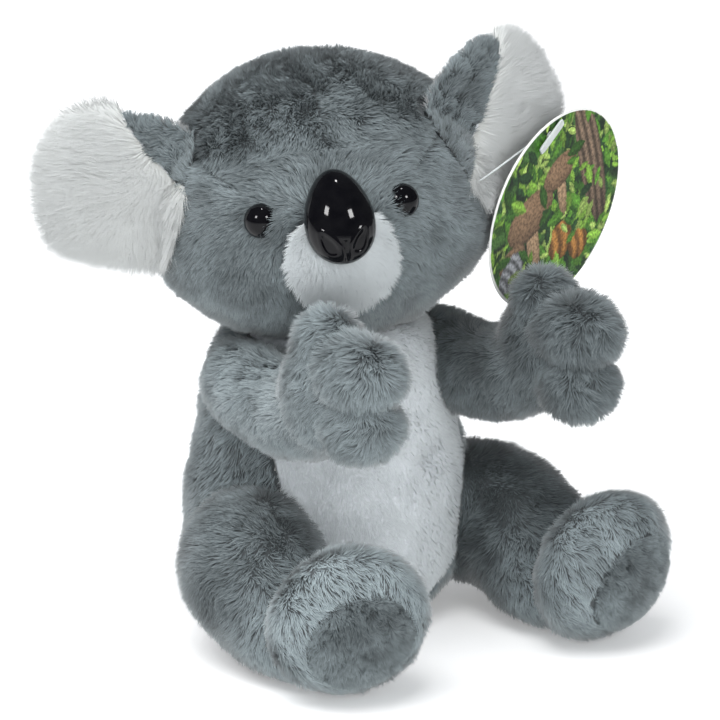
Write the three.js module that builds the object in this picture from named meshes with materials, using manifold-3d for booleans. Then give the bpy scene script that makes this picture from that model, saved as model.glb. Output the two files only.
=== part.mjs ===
// A plush koala that sits 18 cm tall, with its arms and feet held out in front.
// Millimetres. +X is to the koala's own left, +Y to its back, +Z up, and the origin is the middle
// of the flat that it sits on. Sewn covers are shells, open where they are sewn to the next piece,
// with their filling inside. Eyes and nose are moulded, and washers lock them behind the cloth.
import * as THREE from "three";
import { mergeVertices } from "three/addons/utils/BufferGeometryUtils.js";
import Module from "manifold-3d";

const wasm = await Module();
wasm.setup();

const degrees = THREE.MathUtils.degToRad;
const sides = { left: 1, right: -1 };

// Cloth and fit
const clothWall = 3; // plush cloth with its pile
const seamGap = 0.3; // left between pieces that touch
const floorPress = 0.5; // how far the floor flattens what rests on it
const overrun = 6; // how far a cutter runs past what it cuts
const weldDistance = 0.001;

// Body
const neckHeight = 92;
const bodyCrown = 5; // how far the body's rounding goes on above the neck seam
const bodyHeight = neckHeight + bodyCrown;
const bodyHalfWidth = 46;
const bodyHalfDepth = 41;
const bodyProfileShares = [
  [0, 0],
  [0.5, 0],
  [0.8, 0.045],
  [0.96, 0.16],
  [1, 0.31],
  [0.97, 0.47],
  [0.9, 0.62],
  [0.85, 0.76],
  [0.78, 0.87],
  [0.6, 0.955],
  [0, 1],
];
const bellyHalfWidth = 33;
const bellyFoot = 6;
const bellyWidthShares = [0.4, 0.75, 0.94, 1, 0.98, 0.9, 0.82];
const pouchRadius = 24;
const pouchHalfHeight = 9;

// Head, turned to its right and tipped a little
const headPlace = { out: -4, forward: 2.5, rise: 37 }; // above the neck seam
const headTurn = degrees(27.5);
const headRoll = degrees(7);
const headHalfWidth = 50;
const headHalfDepth = 44;
const headHalfHeight = 45;
const cheekSwellShare = 0.11;
const cheekLevelShare = -0.45;
const cheekSpreadShare = 0.4;
const muzzleReach = 9;
const muzzleSpread = 17;
const muzzleDrop = 7.5;
const muzzleHalfWidth = 17.5;
const muzzleHalfHeight = 18.2;

// Eyes and nose, sunk in the pile
const pileSink = 1.8;
const eyeRadius = 5.2;
const eyeSpacing = 22.5;
const eyeRise = 5.8;
const shankRadius = 1.6;
const shankTail = 2; // how far a shank stands out behind its washer
const washerRadius = 5;
const washerThickness = 1.2;
const washerSeat = 1; // how far a washer's face lies behind the cloth, which curves away from it
const noseHalfWidth = 10.25;
const noseHalfHeight = 14.25;
const noseHalfDepth = 9;
const noseTaperShare = 0.16;
const noseRise = 6;
const nostrilRadius = 2.4;
const nostrilHalfHeight = 3.4;
const nostrilSpacing = 4.2;
const nostrilDrop = 8.5;

// Ears, each sewn on along a straight root
const earReach = 45;
const earHalfWidth = 24.5;
const earHalfThickness = 7.5;
const earRootDepth = 14; // the blank starts this far inside the head, which cuts it to fit
const earRootLift = { right: 6, left: 12 }; // and this far above the middle of the root, where the back is gathered
const earSeamBack = 1.5; // the seam between front and back lies this far behind the middle
const earRoot = { out: -7, forward: 10, rise: 8 }; // from the head's side, level with its middle
const earRise = { right: degrees(14), left: degrees(32) };
const earFacing = { right: degrees(25), left: degrees(42) };
// The grey back folds over each ear's upper side. The fold's edge starts at rootRise, seen from the
// middle of the root, and rises to rimRise at tipReach.
const earFold = {
  right: { rootRise: 6, tipReach: 25, rimRise: 27 },
  left: { rootRise: 3, tipReach: 50, rimRise: 22 },
};
const earFlap = degrees(15);
const earWidthShares = [1.14, 1.04, 1, 1, 0.9];
const earThicknessShares = [0.5, 0.85, 1, 1, 0.9];

// Arms, held forward and a little up. Their places are from the body's side at the neck seam.
const shoulder = { out: -14, forward: 5, rise: -15 };
const paw = { out: -7, forward: 70, rise: -1 };
const armRadius = 15;
const armSag = 8.5;
const armWidthShares = [0.9, 1.02, 1, 1, 1];
const armHeightShares = [0.8, 0.94, 1.02, 1.06, 1.1];
const pawHalfSize = 22.5;
// The palm, the thumb, the upper fingers and the lower fingers.
const pawLobeShares = [
  { forward: -0.58, rise: -0.16, size: [0.64, 0.76, 0.88] },
  { forward: -0.58, rise: 0.48, size: [0.52, 0.52, 0.54] },
  { forward: 0.12, rise: 0.24, size: [0.62, 0.76, 0.56] },
  { forward: 0.16, rise: -0.46, size: [0.58, 0.66, 0.56] },
];
const armLift = { down: degrees(10), up: degrees(6) };

// Legs, lying forward with the feet turned up. Their places are from the body's side at the floor.
const hip = { out: -18, forward: 2, rise: 27 };
const knee = { out: -1, forward: 26, rise: 26 };
const ankle = { out: -1, forward: 58, rise: 14 };
const foot = { out: 0, forward: 77, rise: 24 };
const thighRadius = 23;
const legWidthShares = [1, 1.02, 0.95, 0.86, 0.8];
const legHeightShares = [1, 1.04, 0.86, 0.62, 0.7];
const footHalfSize = [26, 17.5, 25];
const footSplay = degrees(15);
const footLean = degrees(17);
const soleDepth = 11;
const legLift = degrees(14);

// Hang tag and the plastic fastener that holds it to the left ear's seam
const cardHalfWidth = 35;
const cardHalfHeight = 29.5;
const cardThickness = 0.6;
const cardHoleRadius = 1.5;
const cardHoleShare = 0.86;
const cardPlace = { out: 14.2, forward: 30.2, rise: -7 }; // from the head's side, level with its middle
const cardTurn = degrees(20);
const cardLean = degrees(6);
const cardRoll = degrees(-17);
const paddleHalfLength = 6.3;
const paddleHalfWidth = 1.1;
const paddleThickness = 1;
const filamentRadius = 0.3;
const filamentStandoff = 1.5; // how far it runs straight out of the card and of the cloth
const crossbarHalfLength = 3.5;
const crossbarRadius = 0.5;
const crossbarDepth = 4.2;
const paddleAngle = degrees(18);
const tagSeatInset = 5;
const tagSeatOut = headHalfWidth - tagSeatInset;
const tagSeatRise = 3;

// How finely the forms are faceted
const fine = { sides: 20, rings: 12 };
const medium = { sides: 12, rings: 8 };
const coarse = { sides: 8, rings: 6 };

// Finishes
const finish = (color, roughness) => new THREE.MeshStandardMaterial({ color, roughness, metalness: 0 });
const greyPlush = finish(0x747c84, 0.95);
const whitePlush = finish(0xe9ebee, 0.95);
const earPlush = finish(0xe4e4e0, 0.95);
const filling = finish(0xf1f1ee, 1);
const pouchCloth = finish(0xd9d6cc, 0.9);
const blackPlastic = finish(0x0b0c0e, 0.08);
const washerPlastic = finish(0xe8e8e4, 0.5);
const printedCard = finish(0x5f8a3c, 0.35);
const clearPlastic = finish(0xdfe6e4, 0.25);

// A closed three.js geometry as a solid that can be joined and cut.
function solidOf(geometry) {
  const loose = geometry.index ? geometry.toNonIndexed() : geometry;
  const bare = new THREE.BufferGeometry().setAttribute("position", loose.getAttribute("position"));
  const merged = mergeVertices(bare, weldDistance);
  const triVerts = new Uint32Array(merged.index.array);
  const vertProperties = merged.getAttribute("position").array;
  return new wasm.Manifold(new wasm.Mesh({ numProp: 3, vertProperties, triVerts }));
}

function geometryOf(solid) {
  const { vertProperties, triVerts } = solid.getMesh();
  const geometry = new THREE.BufferGeometry();
  geometry.setAttribute("position", new THREE.BufferAttribute(vertProperties, 3));
  geometry.setIndex(new THREE.BufferAttribute(triVerts, 1));
  geometry.computeVertexNormals();
  return geometry;
}

const joined = (...solids) => solids.reduce((whole, solid) => whole.add(solid));
const cut = (solid, ...cutters) => cutters.reduce((left, cutter) => left.subtract(cutter), solid);

// What is left of a cut piece once its offcuts have fallen away.
function mainBody(solid) {
  return solid.decompose().reduce((a, b) => (a.volume() > b.volume() ? a : b));
}

function addPiece(group, name, solid, material) {
  const mesh = new THREE.Mesh(geometryOf(mainBody(solid)), material);
  mesh.name = name;
  group.add(mesh);
}

// A value read from evenly spaced shares, smoothly, at a place from 0 to 1.
function shareAt(shares, along) {
  const curve = new THREE.SplineCurve(shares.map((share, i) => new THREE.Vector2(i, share)));
  return curve.getPoint(along).y;
}

// Moves every vertex of a geometry by a rule.
function reshaped(geometry, rule) {
  const position = geometry.getAttribute("position");
  const point = new THREE.Vector3();
  for (let i = 0; i < position.count; i += 1) {
    rule(point.fromBufferAttribute(position, i));
    position.setXYZ(i, point.x, point.y, point.z);
  }
  return geometry;
}

// A profile of [radius, height] points turned round the Z axis.
function turned(points, steps) {
  const profile = points.map(([radius, height]) => new THREE.Vector2(radius, height));
  return new THREE.LatheGeometry(profile, steps).rotateX(Math.PI / 2);
}

// An ellipsoid with its poles on the Z axis.
function ball([halfX, halfY, halfZ], { sides: around, rings }) {
  const unit = new THREE.SphereGeometry(1, around, rings).rotateX(Math.PI / 2);
  return unit.scale(halfX, halfY, halfZ);
}

function cylinder(radius, low, high, steps = coarse.sides) {
  return turned([[0, low], [radius, low], [radius, high], [0, high]], steps);
}

// A flat slab that reaches past the whole toy, between two heights.
function slab(low, high) {
  const reach = 4 * bodyHalfWidth;
  return new THREE.BoxGeometry(reach, reach, high - low).translate(0, 0, (low + high) / 2);
}

// A sewn limb: a blank with blunt round ends is carried along a centre line, and each ring takes
// the line's place there with its own half width and half height.
const endBluntness = 3;
function limb(line, halfWidthAt, halfHeightAt, grow, { sides: around, rings }) {
  const profile = Array.from({ length: rings + 1 }, (_, i) => {
    const along = (1 - Math.cos((Math.PI * i) / rings)) / 2;
    return [(1 - Math.abs(2 * along - 1) ** endBluntness) ** (1 / endBluntness), along];
  });
  const up = new THREE.Vector3(0, 0, 1);
  return reshaped(turned(profile, around), (point) => {
    const along = THREE.MathUtils.clamp(point.z, 0, 1);
    const tangent = line.getTangent(along);
    const across = new THREE.Vector3().crossVectors(tangent, up).normalize();
    const over = new THREE.Vector3().crossVectors(across, tangent);
    const endward = Math.sqrt(Math.max(0, 1 - point.x ** 2 - point.y ** 2)) * Math.sign(along - 0.5);
    const wide = point.x * (halfWidthAt(along) + grow);
    const high = point.y * (halfHeightAt(along) + grow);
    point.copy(line.getPoint(along));
    point.addScaledVector(across, wide).addScaledVector(over, -high);
    point.addScaledVector(tangent, endward * grow);
  });
}

const lineThrough = (...points) =>
  new THREE.CatmullRomCurve3(points.map(([x, y, z]) => new THREE.Vector3(x, y, z)));

// The obstacle's places as seen from a piece that turns about a hinge through a range: cutting the
// piece by all of them leaves it clear of the obstacle wherever it turns.
function sweptPast(obstacle, hinge, axis, angles) {
  return joined(
    ...angles.map((angle) => {
      const turn = new THREE.Matrix4().makeRotationAxis(axis, -angle);
      const about = new THREE.Matrix4().makeTranslation(hinge.x, hinge.y, hinge.z);
      const back = about.clone().invert();
      return solidOf(obstacle.clone().applyMatrix4(about.multiply(turn).multiply(back)));
    }),
  );
}

const place = ({ out, forward, rise }, side) => new THREE.Vector3(side * out, -forward, rise);
const beside = (halfWidth, { out, forward, rise }, side) =>
  place({ out: halfWidth + out, forward, rise }, side);
const ofLeg = (station, side) => beside(bodyHalfWidth, station, side);
const ofArm = ({ out, forward, rise }, side) =>
  ofLeg({ out, forward, rise: neckHeight + rise }, side);
const headCentre = place(headPlace, sides.left).setZ(neckHeight + headPlace.rise);

const koala = new THREE.Group();
const floor = solidOf(slab(-4 * overrun, 0));

// Body: a pear turned round the Z axis, then drawn in from front to back.
function bodyForm(grow, { sides: around }) {
  const height = bodyHeight + floorPress + 2 * grow;
  const profile = bodyProfileShares.map(([out, up]) => [
    out * (bodyHalfWidth + grow),
    up * height - floorPress - grow,
  ]);
  const drawnIn = (bodyHalfDepth + grow) / (bodyHalfWidth + grow);
  return turned(profile, around).scale(1, drawnIn, 1);
}

// The belly panel's outline, seen from the front, run forward through the cover.
function bellyPrism(grow) {
  const top = neckHeight + overrun;
  const steps = bellyWidthShares.length - 1;
  const right = bellyWidthShares.map((share, i) => {
    const up = bellyFoot + (i * (top - bellyFoot)) / steps;
    return new THREE.Vector2(share * bellyHalfWidth + grow, up);
  });
  right[0].y -= grow;
  const left = right.map(({ x, y }) => new THREE.Vector2(-x, y)).reverse();
  const outline = new THREE.SplineCurve(right).getPoints(medium.rings);
  const mirrored = new THREE.SplineCurve(left).getPoints(medium.rings);
  const shape = new THREE.Shape([...outline, ...mirrored]);
  const depth = bodyHalfDepth + overrun;
  return new THREE.ExtrudeGeometry(shape, { depth, bevelEnabled: false }).rotateX(Math.PI / 2);
}

function addBody() {
  const outer = solidOf(bodyForm(0, fine));
  const hollow = solidOf(bodyForm(-clothWall, medium));
  const aboveNeck = solidOf(slab(neckHeight, neckHeight + 2 * overrun));
  const sack = cut(outer, hollow, aboveNeck, floor);
  addPiece(koala, "body_cover", cut(sack, solidOf(bellyPrism(seamGap))), greyPlush);
  addPiece(koala, "belly_panel", sack.intersect(solidOf(bellyPrism(0))), whitePlush);

  const insideFloor = clothWall - floorPress + seamGap;
  const underPouch = solidOf(slab(-overrun, insideFloor));
  const pouchForm = (grow) => {
    const pouch = ball([pouchRadius + grow, pouchRadius + grow, pouchHalfHeight + grow], medium);
    return solidOf(pouch.translate(0, 0, insideFloor + pouchHalfHeight - clothWall));
  };
  addPiece(koala, "seat_pellet_pouch", cut(pouchForm(0), underPouch), pouchCloth);
  const stuffing = solidOf(bodyForm(-clothWall - seamGap, medium));
  addPiece(koala, "body_filling", cut(stuffing, aboveNeck, pouchForm(seamGap)), filling);
}

// Head, in its own frame: x to its left, y to its back, z up.
const headGroup = new THREE.Group();
headGroup.position.copy(headCentre);
headGroup.rotation.set(0, -headRoll, -headTurn, "ZYX");
headGroup.updateMatrix();
koala.add(headGroup);

const bell = (distance, spread) => Math.exp(-((distance / spread) ** 2));

// One vertex rule for the head: an ellipsoid with full cheeks, pushed out round the muzzle.
function shapeHead(point, grow) {
  const cheeks = 1 + cheekSwellShare * bell(point.z - cheekLevelShare, cheekSpreadShare);
  const inFront = Math.max(0, -point.y);
  point.x *= (headHalfWidth + grow) * cheeks;
  point.z *= headHalfHeight + grow;
  point.y *= headHalfDepth + grow;
  point.y -= inFront * muzzleReach * bell(Math.hypot(point.x, point.z + muzzleDrop), muzzleSpread);
}

function headForm(grow, detail) {
  return reshaped(ball([1, 1, 1], detail), (point) => shapeHead(point, grow));
}

// Where a line straight forward at x, z leaves the head, with the way out of the cloth there.
function onFace(x, z) {
  const surface = (u, w) => {
    const a = u / headHalfWidth;
    const c = w / headHalfHeight;
    const cheeks = 1 + cheekSwellShare * bell(c - cheekLevelShare, cheekSpreadShare);
    const point = new THREE.Vector3(a / cheeks, 0, c);
    point.y = -Math.sqrt(1 - point.x ** 2 - point.z ** 2);
    shapeHead(point, 0);
    return point;
  };
  const nearby = weldDistance * headHalfWidth;
  const at = surface(x, z);
  const alongX = surface(x + nearby, z).sub(at);
  const alongZ = surface(x, z + nearby).sub(at);
  return { at, out: alongX.cross(alongZ).normalize() };
}

// A frame on the face whose z axis points out of the cloth.
function faceFrame({ at, out }) {
  const turn = new THREE.Quaternion().setFromUnitVectors(new THREE.Vector3(0, 0, 1), out);
  return new THREE.Matrix4().compose(at, turn, new THREE.Vector3(1, 1, 1));
}

// The eyes and the nose are pressed on from outside, and each has a shank through the cloth that
// a washer locks from behind. Their frames have z out of the cloth and y up the face.
function eyeForm(grow) {
  const radius = eyeRadius + grow;
  return ball([radius, radius, radius], medium).translate(0, 0, -pileSink);
}

function noseForm(grow) {
  const half = [noseHalfWidth + grow, noseHalfHeight + grow, noseHalfDepth + grow];
  const egg = reshaped(ball(half, fine), (point) => {
    point.x *= 1 - (noseTaperShare * point.y) / noseHalfHeight;
  });
  if (grow > 0) return egg;
  const nostrils = Object.values(sides).map((side) => {
    const nostril = ball([nostrilRadius, nostrilHalfHeight, nostrilRadius], coarse);
    const height = noseHalfDepth - nostrilRadius / 2;
    return solidOf(nostril.translate(side * nostrilSpacing, -nostrilDrop, height));
  });
  return geometryOf(cut(solidOf(egg), ...nostrils));
}

const mouldings = [
  { name: "nose", form: noseForm, frame: faceFrame(onFace(0, noseRise)) },
  { name: "eye_left", form: eyeForm, frame: faceFrame(onFace(eyeSpacing, eyeRise)) },
  { name: "eye_right", form: eyeForm, frame: faceFrame(onFace(-eyeSpacing, eyeRise)) },
];

const washerFront = -clothWall - washerSeat;
const washerBack = washerFront - washerThickness;
const shankForm = (grow) => cylinder(shankRadius + grow, washerBack - shankTail - grow, 0);
const washerForm = (grow) =>
  cylinder(washerRadius + grow, washerBack - grow, washerFront + grow, medium.sides);

// Tag fastener, in the toy's own frame: a flat paddle in front of the card, a filament through the
// card's hole and the seam at the ear, and a crossbar behind the cloth.
const cardGroup = new THREE.Group();
cardGroup.position.addVectors(headCentre, beside(headHalfWidth, cardPlace, sides.left));
cardGroup.rotation.set(cardLean, cardRoll, cardTurn, "ZXY");
cardGroup.updateMatrix();
koala.add(cardGroup);

// The card without its hole, its front at -y.
function cardForm(grow) {
  const half = [cardHalfWidth + grow, cardHalfHeight + grow];
  const outline = new THREE.Shape().absellipse(0, 0, ...half, 0, 2 * Math.PI);
  const depth = cardThickness + 2 * grow;
  const card = new THREE.ExtrudeGeometry(outline, {
    depth,
    bevelEnabled: false,
    curveSegments: 2 * medium.rings,
  });
  return card.rotateX(Math.PI / 2).translate(0, grow, 0);
}

const tagSeat = onFace(tagSeatOut, tagSeatRise);
const cardHole = new THREE.Vector3(0, 0, cardHoleShare * cardHalfHeight);

function fastenerForm(grow) {
  const onCard = (x, y, z) => new THREE.Vector3(x, y, z).add(cardHole).applyMatrix4(cardGroup.matrix);
  const onHead = (depth) => {
    const { at, out } = tagSeat;
    return at.clone().addScaledVector(out, -depth).applyMatrix4(headGroup.matrix);
  };
  const front = -cardThickness - seamGap - paddleThickness / 2;
  const stations = [
    onCard(0, front, 0),
    onCard(0, filamentStandoff, 0),
    onHead(-filamentStandoff),
    onHead(crossbarDepth),
  ];
  const section = new THREE.Shape().absarc(0, 0, filamentRadius + grow, 0, 2 * Math.PI);
  const filament = stations.slice(1).map((to, i) => {
    const extrudePath = new THREE.LineCurve3(stations[i], to);
    return solidOf(new THREE.ExtrudeGeometry(section, { extrudePath, steps: 1, curveSegments: 3 }));
  });
  const halfBar = crossbarHalfLength + grow;
  const crossbar = cylinder(crossbarRadius + grow, -halfBar, halfBar, coarse.rings);
  crossbar.applyMatrix4(new THREE.Matrix4().extractRotation(headGroup.matrix));
  const middle = onHead(crossbarDepth);
  crossbar.translate(middle.x, middle.y, middle.z);
  const half = [paddleHalfLength + grow, paddleThickness / 2 + grow, paddleHalfWidth + grow];
  const paddle = new THREE.BoxGeometry(...half.map((size) => 2 * size)).rotateY(-paddleAngle);
  paddle.translate(cardHole.x, cardHole.y + front, cardHole.z).applyMatrix4(cardGroup.matrix);
  return joined(solidOf(paddle), ...filament, solidOf(crossbar));
}

function muzzlePrism(grow) {
  const half = [muzzleHalfWidth + grow, muzzleHalfHeight + grow];
  const shape = new THREE.Shape().absellipse(0, 0, ...half, 0, 2 * Math.PI);
  const depth = headHalfDepth + muzzleReach + overrun;
  const options = { depth, bevelEnabled: false, curveSegments: medium.rings };
  const prism = new THREE.ExtrudeGeometry(shape, options);
  return prism.rotateX(Math.PI / 2).translate(0, 0, -muzzleDrop);
}

function addHead() {
  const intoHead = headGroup.matrix.clone().invert();
  const below = slab(neckHeight - 2 * headHalfHeight, neckHeight + seamGap);
  const underNeck = solidOf(below.applyMatrix4(intoHead));
  const fastenerRoom = solidOf(geometryOf(fastenerForm(seamGap)).applyMatrix4(intoHead));
  const shell = cut(solidOf(headForm(0, fine)), solidOf(headForm(-clothWall, medium)), underNeck);
  const cloth = solidOf(headForm(-pileSink, fine));
  const deeperCloth = solidOf(headForm(-pileSink - seamGap, fine));
  const at = (geometry, frame) => solidOf(geometry.applyMatrix4(frame));

  const lockRooms = mouldings.map(({ frame }) =>
    joined(at(shankForm(seamGap), frame), at(washerForm(seamGap), frame)),
  );
  const rooms = mouldings.map(({ form, frame }, i) =>
    joined(cut(at(form(seamGap), frame), deeperCloth), lockRooms[i]),
  );
  const stuffing = solidOf(headForm(-clothWall - seamGap, medium));
  const cover = cut(shell, solidOf(muzzlePrism(seamGap)), fastenerRoom, ...rooms);
  addPiece(headGroup, "head_cover", cover, greyPlush);
  const panel = cut(shell.intersect(solidOf(muzzlePrism(0))), ...rooms);
  addPiece(headGroup, "muzzle_panel", panel, whitePlush);
  addPiece(headGroup, "head_filling", cut(stuffing, underNeck, fastenerRoom, ...lockRooms), filling);
  for (const { name, form, frame } of mouldings) {
    const moulding = joined(mainBody(cut(at(form(0), frame), cloth)), at(shankForm(0), frame));
    addPiece(headGroup, name, moulding, blackPlastic);
    const disc = cut(at(washerForm(0), frame), at(shankForm(seamGap), frame));
    addPiece(headGroup, name + "_washer", disc, washerPlastic);
  }
  addPiece(koala, "tag_fastener", fastenerForm(0), clearPlastic);
}

// What lies above a fold's edge, in an ear's frame, run forward through the ear.
function foldForm(name, grow) {
  const { rootRise, tipReach, rimRise } = earFold[name];
  const corners = [
    [-earRootDepth - overrun, rootRise - grow],
    [0, rootRise - grow],
    [tipReach + grow, rimRise - grow],
    [tipReach + grow, 2 * earHalfWidth],
    [-earRootDepth - overrun, 2 * earHalfWidth],
  ];
  const shape = new THREE.Shape(corners.map(([x, rise]) => new THREE.Vector2(x, sides[name] * rise)));
  const depth = 4 * earHalfThickness;
  const prism = new THREE.ExtrudeGeometry(shape, { depth, bevelEnabled: false });
  return solidOf(prism.rotateX(Math.PI / 2).translate(0, earHalfThickness, 0));
}

// Ears, each in its own frame: x from the root to the tip, y behind it, z along the root.
function addEar(name) {
  const side = sides[name];
  const facing = earFacing[name];
  const behind = new THREE.Vector3(-side * Math.sin(facing), Math.cos(facing), 0);
  const reach = new THREE.Vector3(side * Math.cos(facing), Math.sin(facing), 0);
  reach.multiplyScalar(Math.cos(earRise[name])).setZ(Math.sin(earRise[name]));
  const along = new THREE.Vector3().crossVectors(reach, behind);
  const ear = new THREE.Group();
  ear.position.copy(beside(headHalfWidth, earRoot, side));
  ear.rotation.setFromRotationMatrix(new THREE.Matrix4().makeBasis(reach, behind, along));
  ear.updateMatrix();
  headGroup.add(ear);

  const line = lineThrough([-earRootDepth, 0, side * earRootLift[name]], [earReach / 2, 0, 0], [earReach, 0, 0]);
  const pad = limb(
    line,
    (along) => earHalfThickness * shareAt(earThicknessShares, along),
    (along) => earHalfWidth * shareAt(earWidthShares, along),
    0,
    medium,
  );
  const head = headForm(seamGap, fine).applyMatrix4(ear.matrix.clone().invert());
  const rootLine = new THREE.Vector3(0, 0, 1);
  const swept = sweptPast(head, new THREE.Vector3(), rootLine, [-earFlap, 0, earFlap]);
  const seated = cut(solidOf(pad), swept);
  const behindSeam = (grow) => {
    const box = new THREE.BoxGeometry(4 * earReach, 2 * earReach, 4 * earReach);
    return solidOf(box.translate(0, earReach + earSeamBack - grow, 0));
  };
  const grey = (grow) => joined(behindSeam(grow), foldForm(name, grow));
  addPiece(ear, "ear_back_" + name, seated.intersect(grey(0)), greyPlush);
  addPiece(ear, "ear_front_" + name, cut(seated, grey(seamGap)), earPlush);
}

const acrossAxis = new THREE.Vector3(1, 0, 0);

// Arms: a sleeve with a mitten of three lobes, thumb up.
function armForm(side, grow, detail) {
  const root = ofArm(shoulder, side);
  const hand = ofArm(paw, side);
  const inboard = root.clone().add(new THREE.Vector3(-side * armRadius, armRadius / 2, 0));
  const elbow = root.clone().lerp(hand, 1 / 2).setZ((root.z + hand.z) / 2 - armSag);
  const sleeve = limb(
    new THREE.CatmullRomCurve3([inboard, root, elbow, hand]),
    (along) => armRadius * shareAt(armWidthShares, along),
    (along) => armRadius * shareAt(armHeightShares, along),
    grow,
    detail,
  );
  const lobes = pawLobeShares.map(({ forward, rise, size }) => {
    const lobe = ball(size.map((share) => share * pawHalfSize + grow), detail);
    return solidOf(lobe.translate(hand.x, hand.y - forward * pawHalfSize, hand.z + rise * pawHalfSize));
  });
  return joined(solidOf(sleeve), ...lobes);
}

function addArm(name) {
  const side = sides[name];
  const angles = [armLift.down, 0, -armLift.up];
  const body = sweptPast(bodyForm(seamGap, fine), ofArm(shoulder, side), acrossAxis, angles);
  const card = solidOf(cardForm(seamGap).applyMatrix4(cardGroup.matrix));
  const cover = cut(armForm(side, 0, medium), armForm(side, -clothWall, coarse), body, card);
  addPiece(koala, "arm_cover_" + name, cover, greyPlush);
  const stuffing = cut(armForm(side, -clothWall - seamGap, coarse), body, card);
  addPiece(koala, "arm_filling_" + name, stuffing, filling);
}

// Legs: a thigh that narrows to the ankle, a foot turned up and a flat sole panel at its front.
function footMatrix(side) {
  const turn = new THREE.Euler(footLean, 0, side * footSplay, "ZYX");
  const unit = new THREE.Vector3(1, 1, 1);
  return new THREE.Matrix4().compose(ofLeg(foot, side), new THREE.Quaternion().setFromEuler(turn), unit);
}

function footForm(side, grow, detail) {
  return ball(footHalfSize.map((size) => size + grow), detail).applyMatrix4(footMatrix(side));
}

function legForm(side, grow, detail) {
  const root = ofLeg(hip, side);
  const inboard = root.clone().add(new THREE.Vector3((-side * thighRadius) / 2, 0, 0));
  const stations = [inboard, ...[knee, ankle, foot].map((station) => ofLeg(station, side))];
  const line = new THREE.CatmullRomCurve3(stations);
  const shin = limb(
    line,
    (along) => thighRadius * shareAt(legWidthShares, along),
    (along) => thighRadius * shareAt(legHeightShares, along),
    grow,
    detail,
  );
  return joined(solidOf(shin), solidOf(footForm(side, grow, detail)));
}

function addLeg(name) {
  const side = sides[name];
  const reach = 4 * thighRadius;
  const beyondSole = (depth) => {
    const box = new THREE.BoxGeometry(reach, reach, reach).translate(0, -depth - reach / 2, 0);
    return solidOf(box.applyMatrix4(footMatrix(side)));
  };
  const angles = [0, -legLift / 2, -legLift];
  const body = sweptPast(bodyForm(seamGap, fine), ofLeg(hip, side), acrossAxis, angles);
  const hollow = legForm(side, -clothWall, coarse);
  const sewnTo = beyondSole(soleDepth - seamGap);
  const cover = cut(legForm(side, 0, medium), hollow, body, sewnTo, floor);
  addPiece(koala, "leg_cover_" + name, cover, greyPlush);
  const sole = cut(solidOf(footForm(side, 0, medium)), hollow, floor).intersect(beyondSole(soleDepth));
  addPiece(koala, "sole_panel_" + name, sole, greyPlush);
  const stuffing = cut(legForm(side, -clothWall - seamGap, coarse), body, floor);
  addPiece(koala, "leg_filling_" + name, stuffing, filling);
}

function addHangTag() {
  const hole = cylinder(cardHoleRadius, -2 * cardThickness, cardThickness, medium.sides);
  hole.rotateX(-Math.PI / 2).translate(cardHole.x, 0, cardHole.z);
  addPiece(cardGroup, "hang_tag", cut(solidOf(cardForm(0)), solidOf(hole)), printedCard);
}

addBody();
addHead();
for (const name of Object.keys(sides)) {
  addEar(name);
  addArm(name);
  addLeg(name);
}
addHangTag();

export default koala;
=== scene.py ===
# %% [markdown]
# # A plush koala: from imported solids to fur
# This lesson dresses a sitting stuffed koala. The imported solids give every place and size, and
# Blender adds what the eye looks for in a plush toy: the cloth skins, hundreds of thousands of
# tapered hairs, the moulded eyes and nose, and the printed card at the ear. The first cell loads
# the solids and keeps their box, so that the dressed toy can be compared with it.

# %% Load the frame
import math

import bpy
import numpy as np
from mathutils import Matrix, Vector


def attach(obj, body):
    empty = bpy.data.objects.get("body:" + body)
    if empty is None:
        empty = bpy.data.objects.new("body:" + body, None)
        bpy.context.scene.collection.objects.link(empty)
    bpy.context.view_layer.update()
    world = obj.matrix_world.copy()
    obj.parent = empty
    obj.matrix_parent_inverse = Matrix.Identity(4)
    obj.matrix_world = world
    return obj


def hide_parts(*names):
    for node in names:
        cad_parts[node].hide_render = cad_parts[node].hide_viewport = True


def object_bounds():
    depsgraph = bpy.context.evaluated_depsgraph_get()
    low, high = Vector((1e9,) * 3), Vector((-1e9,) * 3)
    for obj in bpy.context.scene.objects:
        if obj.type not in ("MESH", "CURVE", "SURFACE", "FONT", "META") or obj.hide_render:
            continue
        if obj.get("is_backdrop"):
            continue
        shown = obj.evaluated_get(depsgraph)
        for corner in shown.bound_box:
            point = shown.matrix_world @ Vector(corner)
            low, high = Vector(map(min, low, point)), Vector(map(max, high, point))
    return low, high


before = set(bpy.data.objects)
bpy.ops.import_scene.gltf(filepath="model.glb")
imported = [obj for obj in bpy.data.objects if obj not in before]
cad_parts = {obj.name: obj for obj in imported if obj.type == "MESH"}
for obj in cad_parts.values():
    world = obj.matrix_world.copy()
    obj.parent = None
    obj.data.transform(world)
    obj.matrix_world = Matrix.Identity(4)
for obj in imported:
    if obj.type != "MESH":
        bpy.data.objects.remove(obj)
cad_low, cad_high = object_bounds()
print("solids", [round(side, 4) for side in cad_high - cad_low], "m")

# %% [markdown]
# ## Sizes
# The toy is +X to its own left, +Y to its back and +Z up, and it sits on the plane z = 0. The sizes
# are those of the solids. A skin lies a pile's height inside a solid's face, because the solid
# was made to the tips of the hairs. Lengths are written in millimetres and turned into metres.

# %% Sizes of the sewn pieces
mm = 0.001
sides = {"left": 1, "right": -1}

neck_height = 92 * mm
body_half_width, body_half_depth, body_height = 46 * mm, 41 * mm, 97 * mm
floor_press = 0.5 * mm
body_profile_shares = np.array(
    [[0, 0], [0.5, 0], [0.8, 0.045], [0.96, 0.16], [1, 0.31], [0.97, 0.47],
     [0.9, 0.62], [0.85, 0.76], [0.78, 0.87], [0.6, 0.955], [0, 1]]
)
belly_half_width, belly_foot = 33 * mm, 6 * mm
belly_width_shares = [0.4, 0.75, 0.94, 1, 0.98, 0.9, 0.82]

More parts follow.
